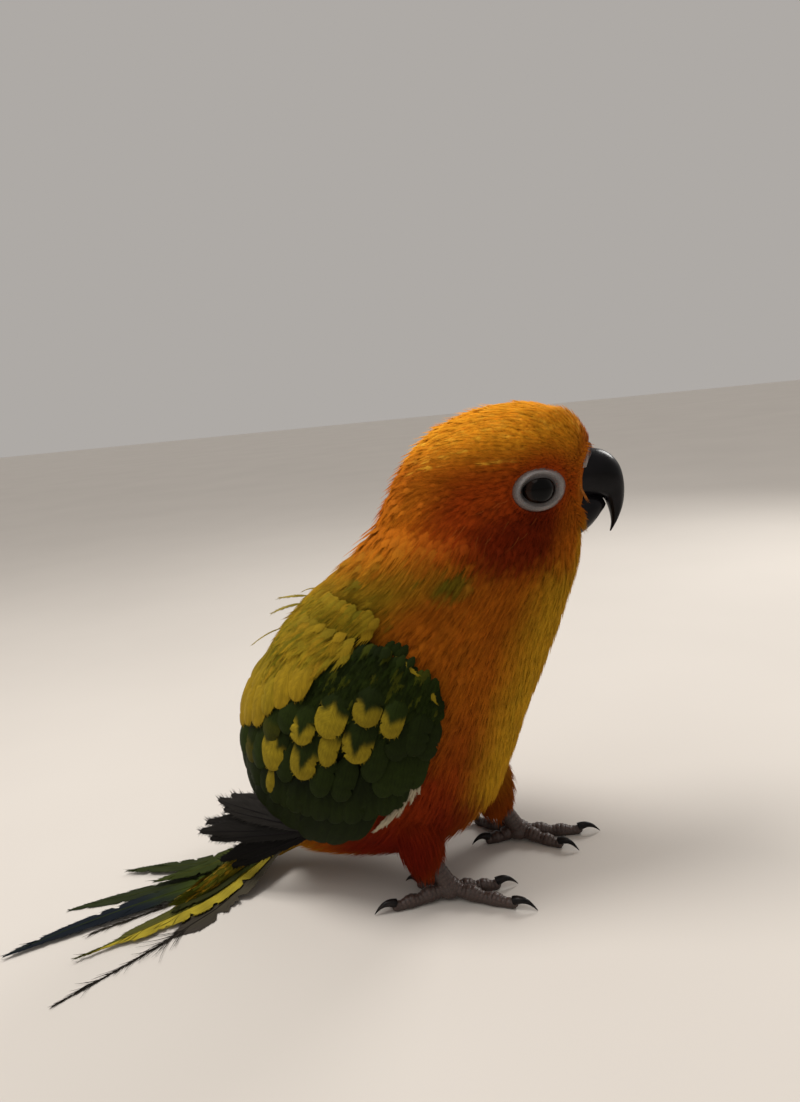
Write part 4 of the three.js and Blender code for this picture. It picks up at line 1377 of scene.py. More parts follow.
# The edge where cream down shows, as slices and degrees, and how many plumes it has
DOWN_EDGE = ((4.9, 5.1, 5.4, 5.7, 6.1, 6.5, 6.85, 7.1), (74, 72.5, 70.2, 68.4, 67.0, 66.8, 67.2, 67.4))
DOWN_FROM, DOWN_SPAN, DOWN_COUNT = 5.65, 1.3, 20
# Clipped flight feathers behind the wing: tilt, length, width, how far out they lie, and how light they are
PRIMARY_ROOT = np.array([-46.0, 21.5, 23.0])
PRIMARY_SHAFT = linear("#141112")
PRIMARIES = [
    (15.5, 29, 4.8, 0, 1.3), (11.5, 32.5, 5, 0.6, 1.15), (7.5, 30.5, 4.8, 1.2, 0.9),
    (-1.5, 37, 4.8, 0, 0.75), (-5.5, 39.5, 5, 0.6, 0.65), (-9, 36.5, 4.6, 1.2, 0.55),
    (-21, 37, 4.8, 0, 0.3), (-25.5, 34, 4.4, 0.6, 0.25),
]


def round_feather(build, rng, path, width, paint, camber, across=10):
    """A wing feather with a round end and a few small splits"""
    s = np.linspace(0, 1, len(path[0]))
    splits = worn(rng, 3, 0.35)
    quill(build, *path, width * outline("round", s), paint, rng, notches=splits, camber=camber, across=across)


def secondaries(build, rng, side):
    """The wing's long feathers and the tier over them, in dark greens"""
    tiers = (
        (SECONDARIES, -0.9, (-0.15, 0.4), 1.5, 0.16, (0.55, 0.75, 0.95, 0.1)),
        (UPPER_SECONDARIES, -0.5, (0.35, 0.35), 1.0, 0.18, (0.65, 0.6, 1.0, 0.12)),
    )
    for tier, low, (high, step), bow, camber, (tip_tone, tip_from, edge_tone, edge_width) in tiers:
        for k, ((t, angle), length, width) in enumerate(tier):
            raised = high + step * (k % 2)
            path = on_wing(side, (t + length, angle + 2), (t, angle), low, raised, 26, bow)
            green = blend(DEEP_GREEN, GREEN, rng.uniform(0.0, 0.35)) * rng.uniform(0.7, 1.0)
            paint = plain_paint(green, GREEN * tip_tone, tip_from, GREEN * edge_tone, edge_width, k, soft=0.2)
            round_feather(build, rng, path, width, paint, camber)


def coverts(build, rng, side):
    """Greater and median coverts, some with a yellow tip, and the yellow lobes over them"""
    rows = 34
    for tier, low, high in ((GREATER, -0.2, 1.0), (MEDIAN, 0.1, 1.5)):
        for k, ((t, angle), length, width, spot, from_s, wedge) in enumerate(tier):
            raised = high + 0.3 * (k % 2) + 0.2 * spot
            path = on_wing(side, (t + length, angle + 1.5), (t, angle), low, raised, rows)
            own = blend(DEEP_GREEN, GREEN, rng.uniform(0.4, 1.0))
            tip = blend(own, TIP_YELLOW * rng.uniform(0.85, 1.1), np.array(spot))
            paint = plain_paint(own, tip, from_s, seed=k * 1.7, wedge=wedge)
            round_feather(build, rng, path, width, paint, 0.2, 14)
    for k, ((t, angle), length, width) in enumerate(LOBES):
        root = min(t + length, 9.0), angle + 2
        path = on_wing(side, root, (t, angle), -0.2, 1.7 + 0.3 * (k % 2), rows)
        yellow = blend(MANTLE, TIP_YELLOW, rng.uniform(0.1, 0.8))
        paint = plain_paint(blend(yellow, OLIVE, 0.35), yellow, 0.35, seed=k, soft=0.25)
        round_feather(build, rng, path, width, paint, 0.2)


def narrow_feather(build, rng, path, width, paint, splits, **form):
    """A wing feather with a pointed end"""
    s = np.linspace(0, 1, len(path[0]))
    quill(build, *path, width * outline("pointed", s), paint, rng, notches=worn(rng, splits, 0.4), **form)


def primaries(build, rng, side):
    """Blunt grey flight feathers that stand out behind the folded wing"""
    s = np.linspace(0, 1, 34)
    for k, (tilt, length, width, step, tone) in enumerate(PRIMARIES):
        lean = math.radians(tilt)
        along = np.array([-math.cos(lean), 0, math.sin(lean)])
        across = np.array([math.sin(lean), -side * 0.25, math.cos(lean)])
        p = PRIMARY_ROOT + along * (length * s)[:, None]
        p[:, 1] = side * (PRIMARY_ROOT[1] - 4 * s**1.6 + step)
        p[:, 2] -= 1.2 * s**2
        run = unit(np.gradient(p, axis=0))
        normal = unit(np.cross(run, across))
        normal *= np.sign(normal[:, 1:2] * side)
        flat = unit(np.cross(normal, run))
        grey = PRIMARY_GREY * tone * rng.uniform(0.85, 1.1)
        paint = plain_paint(grey, grey * 1.2, 0.9, edge=grey * 1.25, edge_width=0.06, seed=k)
        quill(build, p, normal, flat, width * outline("worn", s), paint, rng, thick=0.26, camber=0.08,
              uneven=0.25, notches=worn(rng, 3, 0.35), rachis=0.34, rachis_paint=PRIMARY_SHAFT, fringe=1.7)


def cream_down(build, rng, side):
    """Cream down that shows along the wing's lower front edge"""
    for k in range(DOWN_COUNT):
        f = k / (DOWN_COUNT - 1)
        t = DOWN_FROM + DOWN_SPAN * f
        tip_t = t - rng.uniform(0.45, 0.65)
        front, tip_front = np.interp([t, tip_t], *DOWN_EDGE)
        past = rng.uniform(0.0, 3.6) * (0.4 + 0.6 * f)
        path = on_wing(side, (t, front + 1.6), (tip_t, tip_front - past), -0.5, 0.1)
        paint = plain_paint(CREAM * 0.5, CREAM * 0.72, 0.5, seed=k)
        narrow_feather(build, rng, path, 1.1, paint, 2, across=6, camber=0.2, fringe=0.8)


def wing(side):
    """One folded wing: its body, its tiers of large feathers, and its small ones as coat pieces"""
    name = f"wing_{SIDES[side]}_feathers"
    rng = np.random.default_rng(60 + side)
    build = Build()
    wing_core(build, side)
    secondaries(build, rng, side)
    coverts(build, rng, side)
    for root, tip in BEND_FEATHERS:
        path = on_wing(side, root, tip, 0.3, 1.0)
        narrow_feather(build, rng, path, 1.4, plain_paint(TIP_YELLOW, seed=root[1]), 3)
    primaries(build, rng, side)
    cream_down(build, rng, side)
    piece(name, build.mesh(name), VANE_FINISH, (f"wing_{SIDES[side]}",))
    wing_plumes(side, SIDES[side])


def wing_plumes(side, word):
    """The wing's small feathers: green lesser coverts, and yellow scapulars that run on from the mantle"""
    rng = np.random.default_rng(80 + side)

    def over_wing(height):
        def point(t, angle):
            p, normal, _, _ = surface(body_point, t, angle)
            a = np.abs(angle_of(angle))
            lift = (wing_lift(t, a) + height) * (1 - 0.65 * smooth(134, 153, a))
            return p + normal * lift[..., None]

        return point

    def strewn(name, kind, height, length, width, depth, chosen, colour, seed):
        shape = over_wing(height)
        places = rows_over(shape, 5.6, 9.3, length, width, rng, 0.27, 0.5)
        places[:, 1] = np.radians(angle_of(places[:, 1]))
        t, a = places[:, 0], np.abs(np.degrees(places[:, 1]))
        border = np.interp(a, *GREEN_FROM)
        reach = t - length / 13.0 - border
        kept = (np.sign(places[:, 1]) == side) & chosen(t, a, reach)
        table = coat_points(shape, places[kept], length, width, rng, None, colour, depth=depth)
        feathers(name, kind, table, 0.05, seed)

    def green(p):
        n = len(p)
        colour = blend(np.broadcast_to(GREEN, (n, 3)), DEEP_GREEN, rng.uniform(0, 0.7, n))
        return blend(colour, OLIVE, 0.35 * (rng.random(n) < 0.12))

    def yellow(p):
        n = len(p)
        colour = blend(np.broadcast_to(MANTLE, (n, 3)), TIP_YELLOW, rng.uniform(0.1, 1.0, n))
        colour = blend(colour, BREAST, 0.35 * smooth(-24, -8, p[:, 0]) * rng.uniform(0.3, 1.0, n))
        return blend(colour, OLIVE, 0.6 * (rng.random(n) < 0.12))

    def on_green(t, a, reach):
        behind_front = a > wing_front(np.clip(t - 0.2, 4.6, 8.6))
        return (reach < 0.02) & (t - 0.36 > 6.95) & (t < 8.9) & behind_front & (a < 117)

    def on_scapulars(t, a, reach):
        return (reach > 0.0) & (a > 106 + rng.normal(0, 4, len(a))) & (a < 156) & (t < 8.7)

    def on_shoulder(t, a, reach):
        return (reach > 0.0) & (a > 108 + rng.normal(0, 3, len(a))) & (a < 156) & (t > 8.45)

    strewn(f"coat_lesser_coverts_{word}", "covert", 1.2, 4.8, 2.3, 0.9, on_green, green, 30 + side)
    strewn(f"coat_scapulars_{word}", "scapular", 1.9, 7.8, 3.1, 1.1, on_scapulars, yellow, 40 + side)
    strewn(f"coat_shoulder_{word}", "plume", 1.7, 7.2, 2.8, 1.3, on_shoulder, yellow, 44 + side)


for side in SIDES:
    wing(side)

# Tail: turn from the fan's middle, length, width, level in the fan, and its colours
TAIL_ROOT = np.array([-63.0, 0.0, 9.5])
TAIL_ROWS = 96
TAIL_HEADING = math.radians(-38)
TAIL_LEVEL = 0.92
TAIL_HIGH, TAIL_LOW = 7.2, 0.29
TAIL = [
    (-25, 78, 7.6, 0, "#413c30", "#38332e", "frayed"),
    (-17, 68, 8.0, 1, "#3f4517", "#4a4a20", "striped"),
    (-9, 42, 6.5, 2, "#38400f", "#2a2c12", "whole"),
    (-5, 62, 7.4, 0, "#3f3d26", "#46413a", "frayed"),
    (2, 84, 7.2, 1, "#343f0f", "#12181f", "long"),
    (9, 68, 7.2, 0, "#37400f", "#262c18", "whole"),
    (15, 44, 6.5, 2, "#4a4c14", "#2d3512", "whole"),
    (22, 54, 7.0, 1, "#3c4311", "#2a3018", "whole"),
]


def tail_height(distance, level):
    """A tail feather's height: it comes down from the rump and then lies along the ground"""
    drop = smooth(4, 34, distance)
    return blend_value(TAIL_HIGH, TAIL_LOW, drop) + level * TAIL_LEVEL * (0.4 + 0.6 * drop)


def tail_path(turn, length, level, bend):
    """One tail feather's path from the fan's root, with its outward way and its sideways way"""
    s = np.linspace(0, 1, TAIL_ROWS)
    d = length * s
    heading = TAIL_HEADING + math.radians(turn) + math.radians(bend) * s**2
    x = TAIL_ROOT[0] - d * np.cos(heading)
    y = TAIL_ROOT[1] + d * np.sin(heading)
    p = np.stack([x, y, tail_height(d, level)], -1)
    along = unit(np.gradient(p, axis=0))
    side = unit(np.stack([np.sin(heading), np.cos(heading), 0 * s], -1))
    normal = unit(np.cross(side, along))
    normal *= np.sign(normal[:, 2:3])
    return s, p, normal, side


def barb(build, root, way, curl, length, radius, colour):
    """One loose barb: a thin tapered thread that bends"""
    steps = np.linspace(0, 1, 5)
    path = root + way * (length * steps)[:, None] + curl * (length * steps**2)[:, None]
    run = unit(np.gradient(path, axis=0))
    side = unit(np.cross(run, np.array([0.1, 0.2, 1.0])))
    lift = np.cross(side, run)
    ring = ring_of(3)
    r = radius * (1 - 0.85 * steps)[:, None]
    sideways = side[:, None] * (np.cos(ring) * r)[..., None]
    points = path[:, None] + sideways + lift[:, None] * (np.sin(ring) * r)[..., None]
    build.add(points, tube_faces(5, 3), colour)


# The tail's root from its thin end up to the rump, as slices like the body's
TAIL_BASE = np.array([
    (-84.0, 0.9, -87.0, 3.4, 4.2),
    (-74.0, 1.6, -80.0, 7.2, 6.4),
    (-65.0, 3.6, -71.5, 12.6, 7.6),
    (-55.0, 7.4, -60.0, 19.0, 7.6),
])


def tail_root_point(t, angle):
    """The surface of the tail's root, bent to the bird's right"""
    p = slice_point(TAIL_BASE, t, angle, 2.2)
    bend = math.tan(TAIL_HEADING) * smooth(56, 90, -p[..., 0]) * (TAIL_ROOT[0] - p[..., 0] + 8)
    return np.stack([p[..., 0], p[..., 1] + bend, p[..., 2]], -1)


def tail_root_colour(p):
    """Yellow at the rump, olive green towards the tail feathers"""
    colour = blend(VENT * 0.85, OLIVE, 0.35 + 0.6 * smooth(60, 82, -p[..., 0]))
    return blend(colour, GREEN, 0.5 * smooth(66, 84, -p[..., 0]))


def tail_coverts():
    """Short feathers round the tail's root, kept clear of the ground"""
    rng = np.random.default_rng(78)
    places = rows_over(tail_root_point, 0.1, 3.0, 8.0, 3.0, rng, 0.3, 0.5)

    def mixed(p):
        return blend(tail_root_colour(p), VENT, 0.5 * (rng.random(len(p)) < 0.25))

    table = coat_points(tail_root_point, places, 8.0, 3.0, rng, None, mixed, depth=0.9, span=3.0)
    table["p"][:, 2] = np.maximum(table["p"][:, 2], 0.8)
    rise = table["lie"][:, 2]
    table["lie"][:, 2] = np.where(table["p"][:, 2] < 3.0, np.maximum(rise, 0.02), rise)
    feathers("coat_tail_coverts", "scapular", table, 0.04, 61)


TAIL_YELLOW = linear("#99892a")
BARE_SHAFT = linear("#1f1b17")
# Loose barbs of a tail feather in each state
STRANDS = {"frayed": 60, "striped": 16, "long": 4, "whole": 6}


def half_yellow(own):
    """A tail feather's colours with one half of the vane yellow almost to its tip"""

    def paint(s, u):
        yellow = TAIL_YELLOW * (1 + 0.1 * np.sin(60 * s))[..., None]
        return blend(own(s, u), yellow, smooth(-0.1, 0.06, -u) * (1 - smooth(0.86, 0.97, s)))

    return paint


def tail_feather(build, loose, rng, k, turn, length, width, level, base, tip, state):
    """One tail feather in its state of wear, with its loose barbs"""
    s, p, normal, side = tail_path(turn, length, level, rng.uniform(-5, 5))
    paint = plain_paint(base, tip, 0.5, edge=base * 1.25, edge_width=0.1, seed=k, soft=0.14)
    shape = outline("pointed", s)
    shaft = base * 0.6
    notches = worn(rng, 9, 0.6)
    if state == "frayed":
        shape = shape * (1 - 0.93 * smooth(0.5, 0.6, s))
        notches = worn(rng, 10, 0.8)
        shaft = BARE_SHAFT
    if state == "striped":
        shape = shape * (1 - 0.6 * smooth(0.78, 0.86, s))
        paint = half_yellow(paint)
    quill(build, p, normal, side, np.maximum(width * shape, 0.25), paint, rng, thick=0.26, camber=0.06,
          notches=notches, rachis=0.36, rachis_paint=shaft, across=14, fringe=1.2)
    for _ in range(STRANDS[state]):
        f = rng.uniform(0.52, 0.99)
        at = int(f * (len(p) - 1))
        hand = rng.choice([-1, 1])
        run = unit(p[at] - p[max(at - 1, 0)])
        way = unit(run + side[at] * hand * rng.uniform(0.1, 0.6))
        curl = side[at] * rng.uniform(-0.35, 0.35) + np.array([0, 0, 0.03])
        reach = rng.uniform(4, 15) * (1.25 - f)
        radius = rng.uniform(0.08, 0.2)
        barb(loose, p[at] + normal[at] * 0.1, way, curl, reach, radius, tip * rng.uniform(0.6, 1.3))


def tail():
    """The worn tail feathers, their loose barbs and the flesh of the tail's root"""
    rng = np.random.default_rng(77)
    build, loose = Build(), Build()
    for k, (turn, length, width, level, base, tip, state) in enumerate(TAIL):
        tail_feather(build, loose, rng, k, turn, length, width, level, linear(base), linear(tip), state)
    rows, sides = 24, 40
    t = np.linspace(0.05, 2.95, rows)[:, None]
    p, *_ = surface(tail_root_point, t, ring_of(sides)[None, :], -0.9)
    build.add(p, tube_faces(rows, sides), tail_root_colour(p).reshape(-1, 3) * 0.7)
    piece("tail_feathers", build.mesh("tail_feathers"), VANE_FINISH, ("tail",))
    piece("tail_loose_barbs", loose.mesh("tail_loose_barbs"), VANE_FINISH)


tail()
tail_coverts()


# Loose feathers of the back: slice, degrees round the body, length, and how far the tip drops
STRAYS = ((8.85, -172, 9, -0.1), (8.7, -164, 10, -0.3), (7.75, -170, 9.5, -0.35), (8.8, 165, 8, -0.3))
STRAY_PAINT = plain_paint(linear("#7d6d22"), linear("#8f7f33"), 0.5)
HAIR_PALE = linear("#d89a50")
HAIR_COUNT, HAIR_RADIUS = 13, 0.065


def strays(rng):
    """Thin loose feathers that stand off the back"""
    build = Build()
    for t, angle, length, drop in STRAYS:
        root, normal, down, _ = surface(body_point, t, np.radians(angle), -0.3)
        s = np.linspace(0, 1, 24)
        way = unit(down * 0.78 + normal * 0.62)
        p = root + way * (length * s)[:, None] + np.array([0, 0, drop]) * (2.2 * s**2)[:, None] * 3
        run = unit(np.gradient(p, axis=0))
        side = unit(np.cross(run, normal))
        flat = np.cross(side, run)
        quill(build, p, flat, side, 1.1 * outline("pointed", s), STRAY_PAINT, rng, thick=0.15,
              notches=worn(rng, 5, 0.7), rachis=0.12, fringe=1.2)
    piece("stray_feathers", build.mesh("stray_feathers"), VANE_FINISH)


def cheek_hairs(rng):
    """Pale hair-like feathers that lie over the cheeks"""
    build = Build()
    for side in SIDES:
        for _ in range(HAIR_COUNT):
            t, angle = rng.uniform(11.2, 12.3), rng.uniform(66, 118)
            around_body = np.radians(side * angle)
            root, normal, down, around = surface(body_point, t, around_body, -0.2)
            way = lie_at(root, normal, down, around, t, around_body, rng)
            way = unit(way + normal * rng.uniform(0.1, 0.24))
            curl = np.cross(normal, way) * rng.uniform(-0.4, 0.4) - normal * 0.1
            paint = blend(plumage(root[None])[0], HAIR_PALE, 0.2)
            barb(build, root, way, curl, rng.uniform(2.5, 5.5), HAIR_RADIUS, paint)
    piece("cheek_hairs", build.mesh("cheek_hairs"), VANE_FINISH)


stray_rng = np.random.default_rng(19)
strays(stray_rng)
cheek_hairs(stray_rng)

# Bill
UPPER_BILL = np.array([
    (29.5, 118.3, 25.0, 105.6, 6.6),
    (33.3, 118.1, 27.8, 105.5, 6.5),
    (36.7, 116.5, 30.3, 105.4, 6.1),
    (39.2, 113.2, 32.8, 105.3, 5.2),
    (40.2, 108.4, 35.0, 104.4, 3.9),
    (39.9, 103.4, 36.2, 101.0, 2.4),
    (38.4, 99.2, 36.5, 98.0, 1.3),
    (36.4, 95.8, 36.0, 95.7, 0.4),
])
LOWER_BILL = np.array([
    (26.0, 108.0, 25.0, 94.2, 5.9),
    (29.0, 107.6, 27.3, 95.5, 5.7),
    (32.0, 106.8, 29.6, 97.0, 4.9),
    (34.2, 105.2, 31.4, 98.6, 3.6),
    (35.2, 103.4, 33.1, 100.6, 1.7),
])


def bill_point(rows):
    """The surface of one half of the bill, turned with the head"""

    def point(t, angle):
        return turned(slice_point(rows, t, angle, 2.1), np.ones(np.shape(t)))

    return point


# A painted highlight on the top of the bill's base.
BILL_HIGHLIGHT_GREY = linear("#38343a") * 0.2


def bill(name, rows, node):
    """One half of the bill in dark horn, greyer on top towards its base as a painted highlight"""
    build = Build()
    steps, sides = 70, 56
    t = np.linspace(0, len(rows) - 1, steps)[:, None]
    angle = ring_of(sides)[None, :]
    t, angle = np.broadcast_arrays(t, angle)
    p = bill_point(rows)(t, angle)
    near_base = 1 - smooth(0.4, 2.2, t)
    near_ridge = 0.35 + 0.65 * smooth(-0.2, 1, np.cos(angle))
    highlight_tint = blend(np.zeros(3), BILL_HIGHLIGHT_GREY, near_base * near_ridge)
    build.add(p, tube_faces(steps, sides), highlight_tint.reshape(-1, 3))
    piece(name, build.mesh(name), BILL_FINISH, (node,))


bill("bill_upper_horn", UPPER_BILL, "bill_upper")
bill("bill_lower_horn", LOWER_BILL, "bill_lower")


def cere():
    """Bare skin that saddles the top of the bill's base, with a nostril on each side"""
    build = Build()
    t, angle = np.meshgrid(np.linspace(0.0, 0.62, 48), np.radians(np.linspace(-74, 74, 90)), indexing="ij")
    deg = np.abs(np.degrees(angle))
    t = t * (1 - 0.45 * smooth(35, 74, deg))
    edge = 0.5 - 0.2 * smooth(5, 60, deg)
    swell = (1 - smooth(edge - 0.22, edge, t)) * (1 - smooth(40, 72, deg))
    nostril = np.sqrt(((t - 0.2) / 0.08) ** 2 + ((deg - 38) / 5.0) ** 2)
    rim = np.exp(-(((nostril - 1.35) / 0.4) ** 2)) * 0.1
    pit = 1 - smooth(0.6, 1.15, nostril)
    lift = -0.4 + 0.6 * swell + rim - 0.8 * pit
    p, normal, _, _ = surface(bill_point(UPPER_BILL), t, angle, lift)
    under = p - normal * 1.2
    colour = blend(linear("#a8a19c") + 0 * p, linear("#4a4446"), smooth(0.3, 0.5, t))
    # The nostril's pit is painted dark: painted shade in the hole.
    colour = blend(colour, linear("#141010"), pit)
    rows, columns = t.shape
    rings = np.concatenate([p, under[:, ::-1]], 1)
    paint = np.concatenate([colour, colour[:, ::-1]], 1)
    build.add(rings, tube_faces(rows, 2 * columns), paint.reshape(-1, 3))
    piece("cere", build.mesh("cere"), LID_FINISH)


cere()


# Eyes and the bare rings round them
def eye_frame(side):
    """Where an eye leaves the head, its axis, and the ways ahead and up across it"""
    p, axis = eye_place(side)
    ahead = unit(HEAD_FORWARD - axis * HEAD_FORWARD.dot(axis))
    up = np.cross(ahead, axis) * side
    up = up * np.sign(up[2])
    return p, axis, ahead, up


def eye(side):
    """A wet eyeball whose cornea bulges a little"""
    name = f"eye_{SIDES[side]}_ball"
    rows, sides = 48, 64
    p, axis, ahead, up = eye_frame(side)
    centre = p - axis * BALL_SUNK
    polar = np.linspace(0.02, np.pi - 0.02, rows)[:, None]
    ring = ring_of(sides)[None, :]
    cornea = 0.25 * (1 - smooth(0.4, 0.75, polar))
    radius = BALL_RADIUS + cornea
    outwards = (np.cos(polar) * radius)[..., None] * axis
    forwards = (np.sin(polar) * np.cos(ring) * radius)[..., None] * ahead
    upwards = (np.sin(polar) * np.sin(ring) * radius)[..., None] * up
    build = Build()
    build.add(centre + outwards + forwards + upwards, tube_faces(rows, sides), (0.02, 0.01, 0.01))
    mesh = build.mesh(name)
    off = np.broadcast_to(polar / (np.pi / 2), (rows, sides)).ravel()
    attribute(mesh, "off_axis", np.clip(off, 0, 1), "FLOAT")
    piece(name, mesh, EYE_FINISH, (f"eye_{SIDES[side]}",))


# Half the length and height of the opening between the lids and of the bare ring
OPENING = np.array([4.1, 3.1])
OPENING_BACK = 0.45
RING_OUTER = np.array([7.5, 5.7])
RING_DARK, RING_PALE = linear("#554e4c"), linear("#8b8583")
RING_INNER_RIM, RING_OUTER_RIM = linear("#211b1a"), linear("#6d4c3e")


def head_height(side, where):
    """How high the head's surface stands along an eye's axis, at places across that axis"""
    p, axis, ahead, up = eye_frame(side)
    t, angle = np.meshgrid(np.linspace(12.2, 14.9, 90), np.radians(side * np.linspace(45, 140, 110)),
                           indexing="ij")
    head = body_point(t, angle).reshape(-1, 3) - p
    flat = np.stack([head @ ahead, head @ up], -1)
    height = head @ axis
    near = (np.abs(flat) < 11).all(1) & (np.abs(height) < 9)
    flat, height = flat[near], height[near]
    gap = ((where.reshape(-1, 1, 2) - flat[None]) ** 2).sum(-1)
    pick = np.argpartition(gap, 6, axis=1)[:, :6]
    weight = 1 / (np.take_along_axis(gap, pick, 1) + 0.02)
    return ((height[pick] * weight).sum(1) / weight.sum(1)).reshape(where.shape[:2])


def ring_colour(f, ring):
    """The bare ring's colours, from its dark inner rim to its outer rim, by share and angle, darker at the
    back as painted shade
    """
    every = np.ones_like(f * ring)
    colour = blend(RING_DARK, RING_PALE, smooth(0.08, 0.5, f) * every)
    colour = blend(colour, RING_INNER_RIM, (1 - smooth(0.02, 0.15, f)) * every)
    colour = blend(colour, RING_OUTER_RIM, smooth(0.6, 0.95, f) * every)
    # Darker towards the back of the ring: painted shade.
    colour = colour * (0.85 + 0.15 * np.cos(ring) + 0 * f)[..., None]
    return colour * (1 + 0.1 * np.sin(ring * 5 + 4 * f) * smooth(0.1, 0.4, f))[..., None]


def eye_ring(side):
    """The lids and the ring of bare skin: from under the feathers, in folds, to the rim on the eyeball"""
    name = f"eye_ring_{SIDES[side]}"
    p, axis, ahead, up = eye_frame(side)
    steps, sides = 30, 96
    f = np.linspace(0, 1, steps)[:, None]
    ring = ring_of(sides)[None, :]
    size = OPENING + (RING_OUTER - OPENING) * f[..., None]
    across = np.cos(ring) * size[..., 0] - OPENING_BACK * (1 - f) ** 2
    where = np.stack([across, np.sin(ring) * size[..., 1]], -1)
    ball = np.sqrt(np.clip(BALL_RADIUS**2 - (where**2).sum(-1), 0, None)) - BALL_SUNK
    folds = 0.13 * np.sin(f * 17 + 0.5 * np.sin(ring * 3)) * smooth(0.12, 0.3, f) * (1 - smooth(0.85, 1, f))
    papillae = 0.05 * np.sin(ring * 44 + 3 * np.sin(f * 20)) * smooth(0.1, 0.25, f)
    rim = 0.26 * np.exp(-(((f - 0.07) / 0.07) ** 2))
    lid = blend_value(ball + 0.12, head_height(side, where) + 0.28, smooth(0.02, 0.34, f))
    lid = lid + rim + folds + papillae
    lid = lid - 0.7 * smooth(0.5, 0.88, f) - 2.4 * smooth(0.86, 1.0, f) ** 1.5
    outer = p + where[..., :1] * ahead + where[..., 1:] * up + lid[..., None] * axis
    rings = np.concatenate([outer[:1] - axis * 1.3, outer, outer[-1:] - axis * 1.2], 0)
    colour = ring_colour(f, ring)
    colour = np.concatenate([colour[:1], colour, colour[-1:]], 0)
    rows = len(rings)
    faces = tube_faces(rows, sides)[:-2]
    # The back is closed from the last ring round to the first.
    for k in range(sides):
        first, after = k, (k + 1) % sides
        last = (rows - 1) * sides
        faces.append((last + first, first, after, last + after))
    build = Build()
    build.add(rings, faces, colour.reshape(-1, 3))
    piece(name, build.mesh(name), LID_FINISH)


for side in SIDES:
    eye(side)
    eye_ring(side)

# Feet
# Each toe's turn from straight ahead, its length and its claw's length
TOES = {
    "toe_2": (17, 14, 5.2),
    "toe_3": (-14, 19, 5.6),
    "toe_1": (155, 10, 4.6),
    "toe_4": (205, 16, 5.2),
}
FOOT_COLOUR = linear("#483832")
TOE_RADIUS, TARSUS_RADIUS, CLAW_RADIUS = 2.15, 2.5, 1.25
BALL_OF_FOOT = (3.4, 3.3, 2.6)


def round_tube(build, centres, radii, sides, colour, up=(0, 0, 1), scute=0.0, pitch=1.0, floor=None):
    """A tube through centres, with plates across its top where `scute` is more than nothing, their tops
    painted paler as a painted highlight
    """
    run = unit(np.gradient(centres, axis=0))
    side = unit(np.cross(run, np.array(up, float)))
    lift = np.cross(side, run)
    ring = ring_of(sides)
    length = np.concatenate([[0], np.cumsum(np.linalg.norm(np.diff(centres, axis=0), axis=1))])
    plate = np.abs(np.sin(np.pi * length / pitch))[:, None] ** 0.5
    top = smooth(-0.1, 0.5, np.sin(ring))[None, :]
    knob = 0.5 + 0.5 * np.cos(ring * 7)[None, :] * np.sin(2 * np.pi * length / pitch)[:, None]
    radius = np.asarray(radii)[:, None] * (1 + scute * ((plate - 0.7) * top + 0.35 * knob * (1 - top)))
    sideways = side[:, None] * (np.cos(ring) * radius)[..., None]
    points = centres[:, None] + sideways + lift[:, None] * (np.sin(ring) * radius)[..., None]
    if floor is not None:
        points[..., 2] = np.maximum(points[..., 2], floor)
    # Painted highlight: along the top the plates are paler than the grooves between them.
    shade = (0.5 + 0.68 * plate * top + 0.36 * (1 - top))[..., None]
    paint = np.clip(np.asarray(colour) * shade, 0, 1)
    build.add(points, tube_faces(len(centres), sides), paint.reshape(-1, 3))


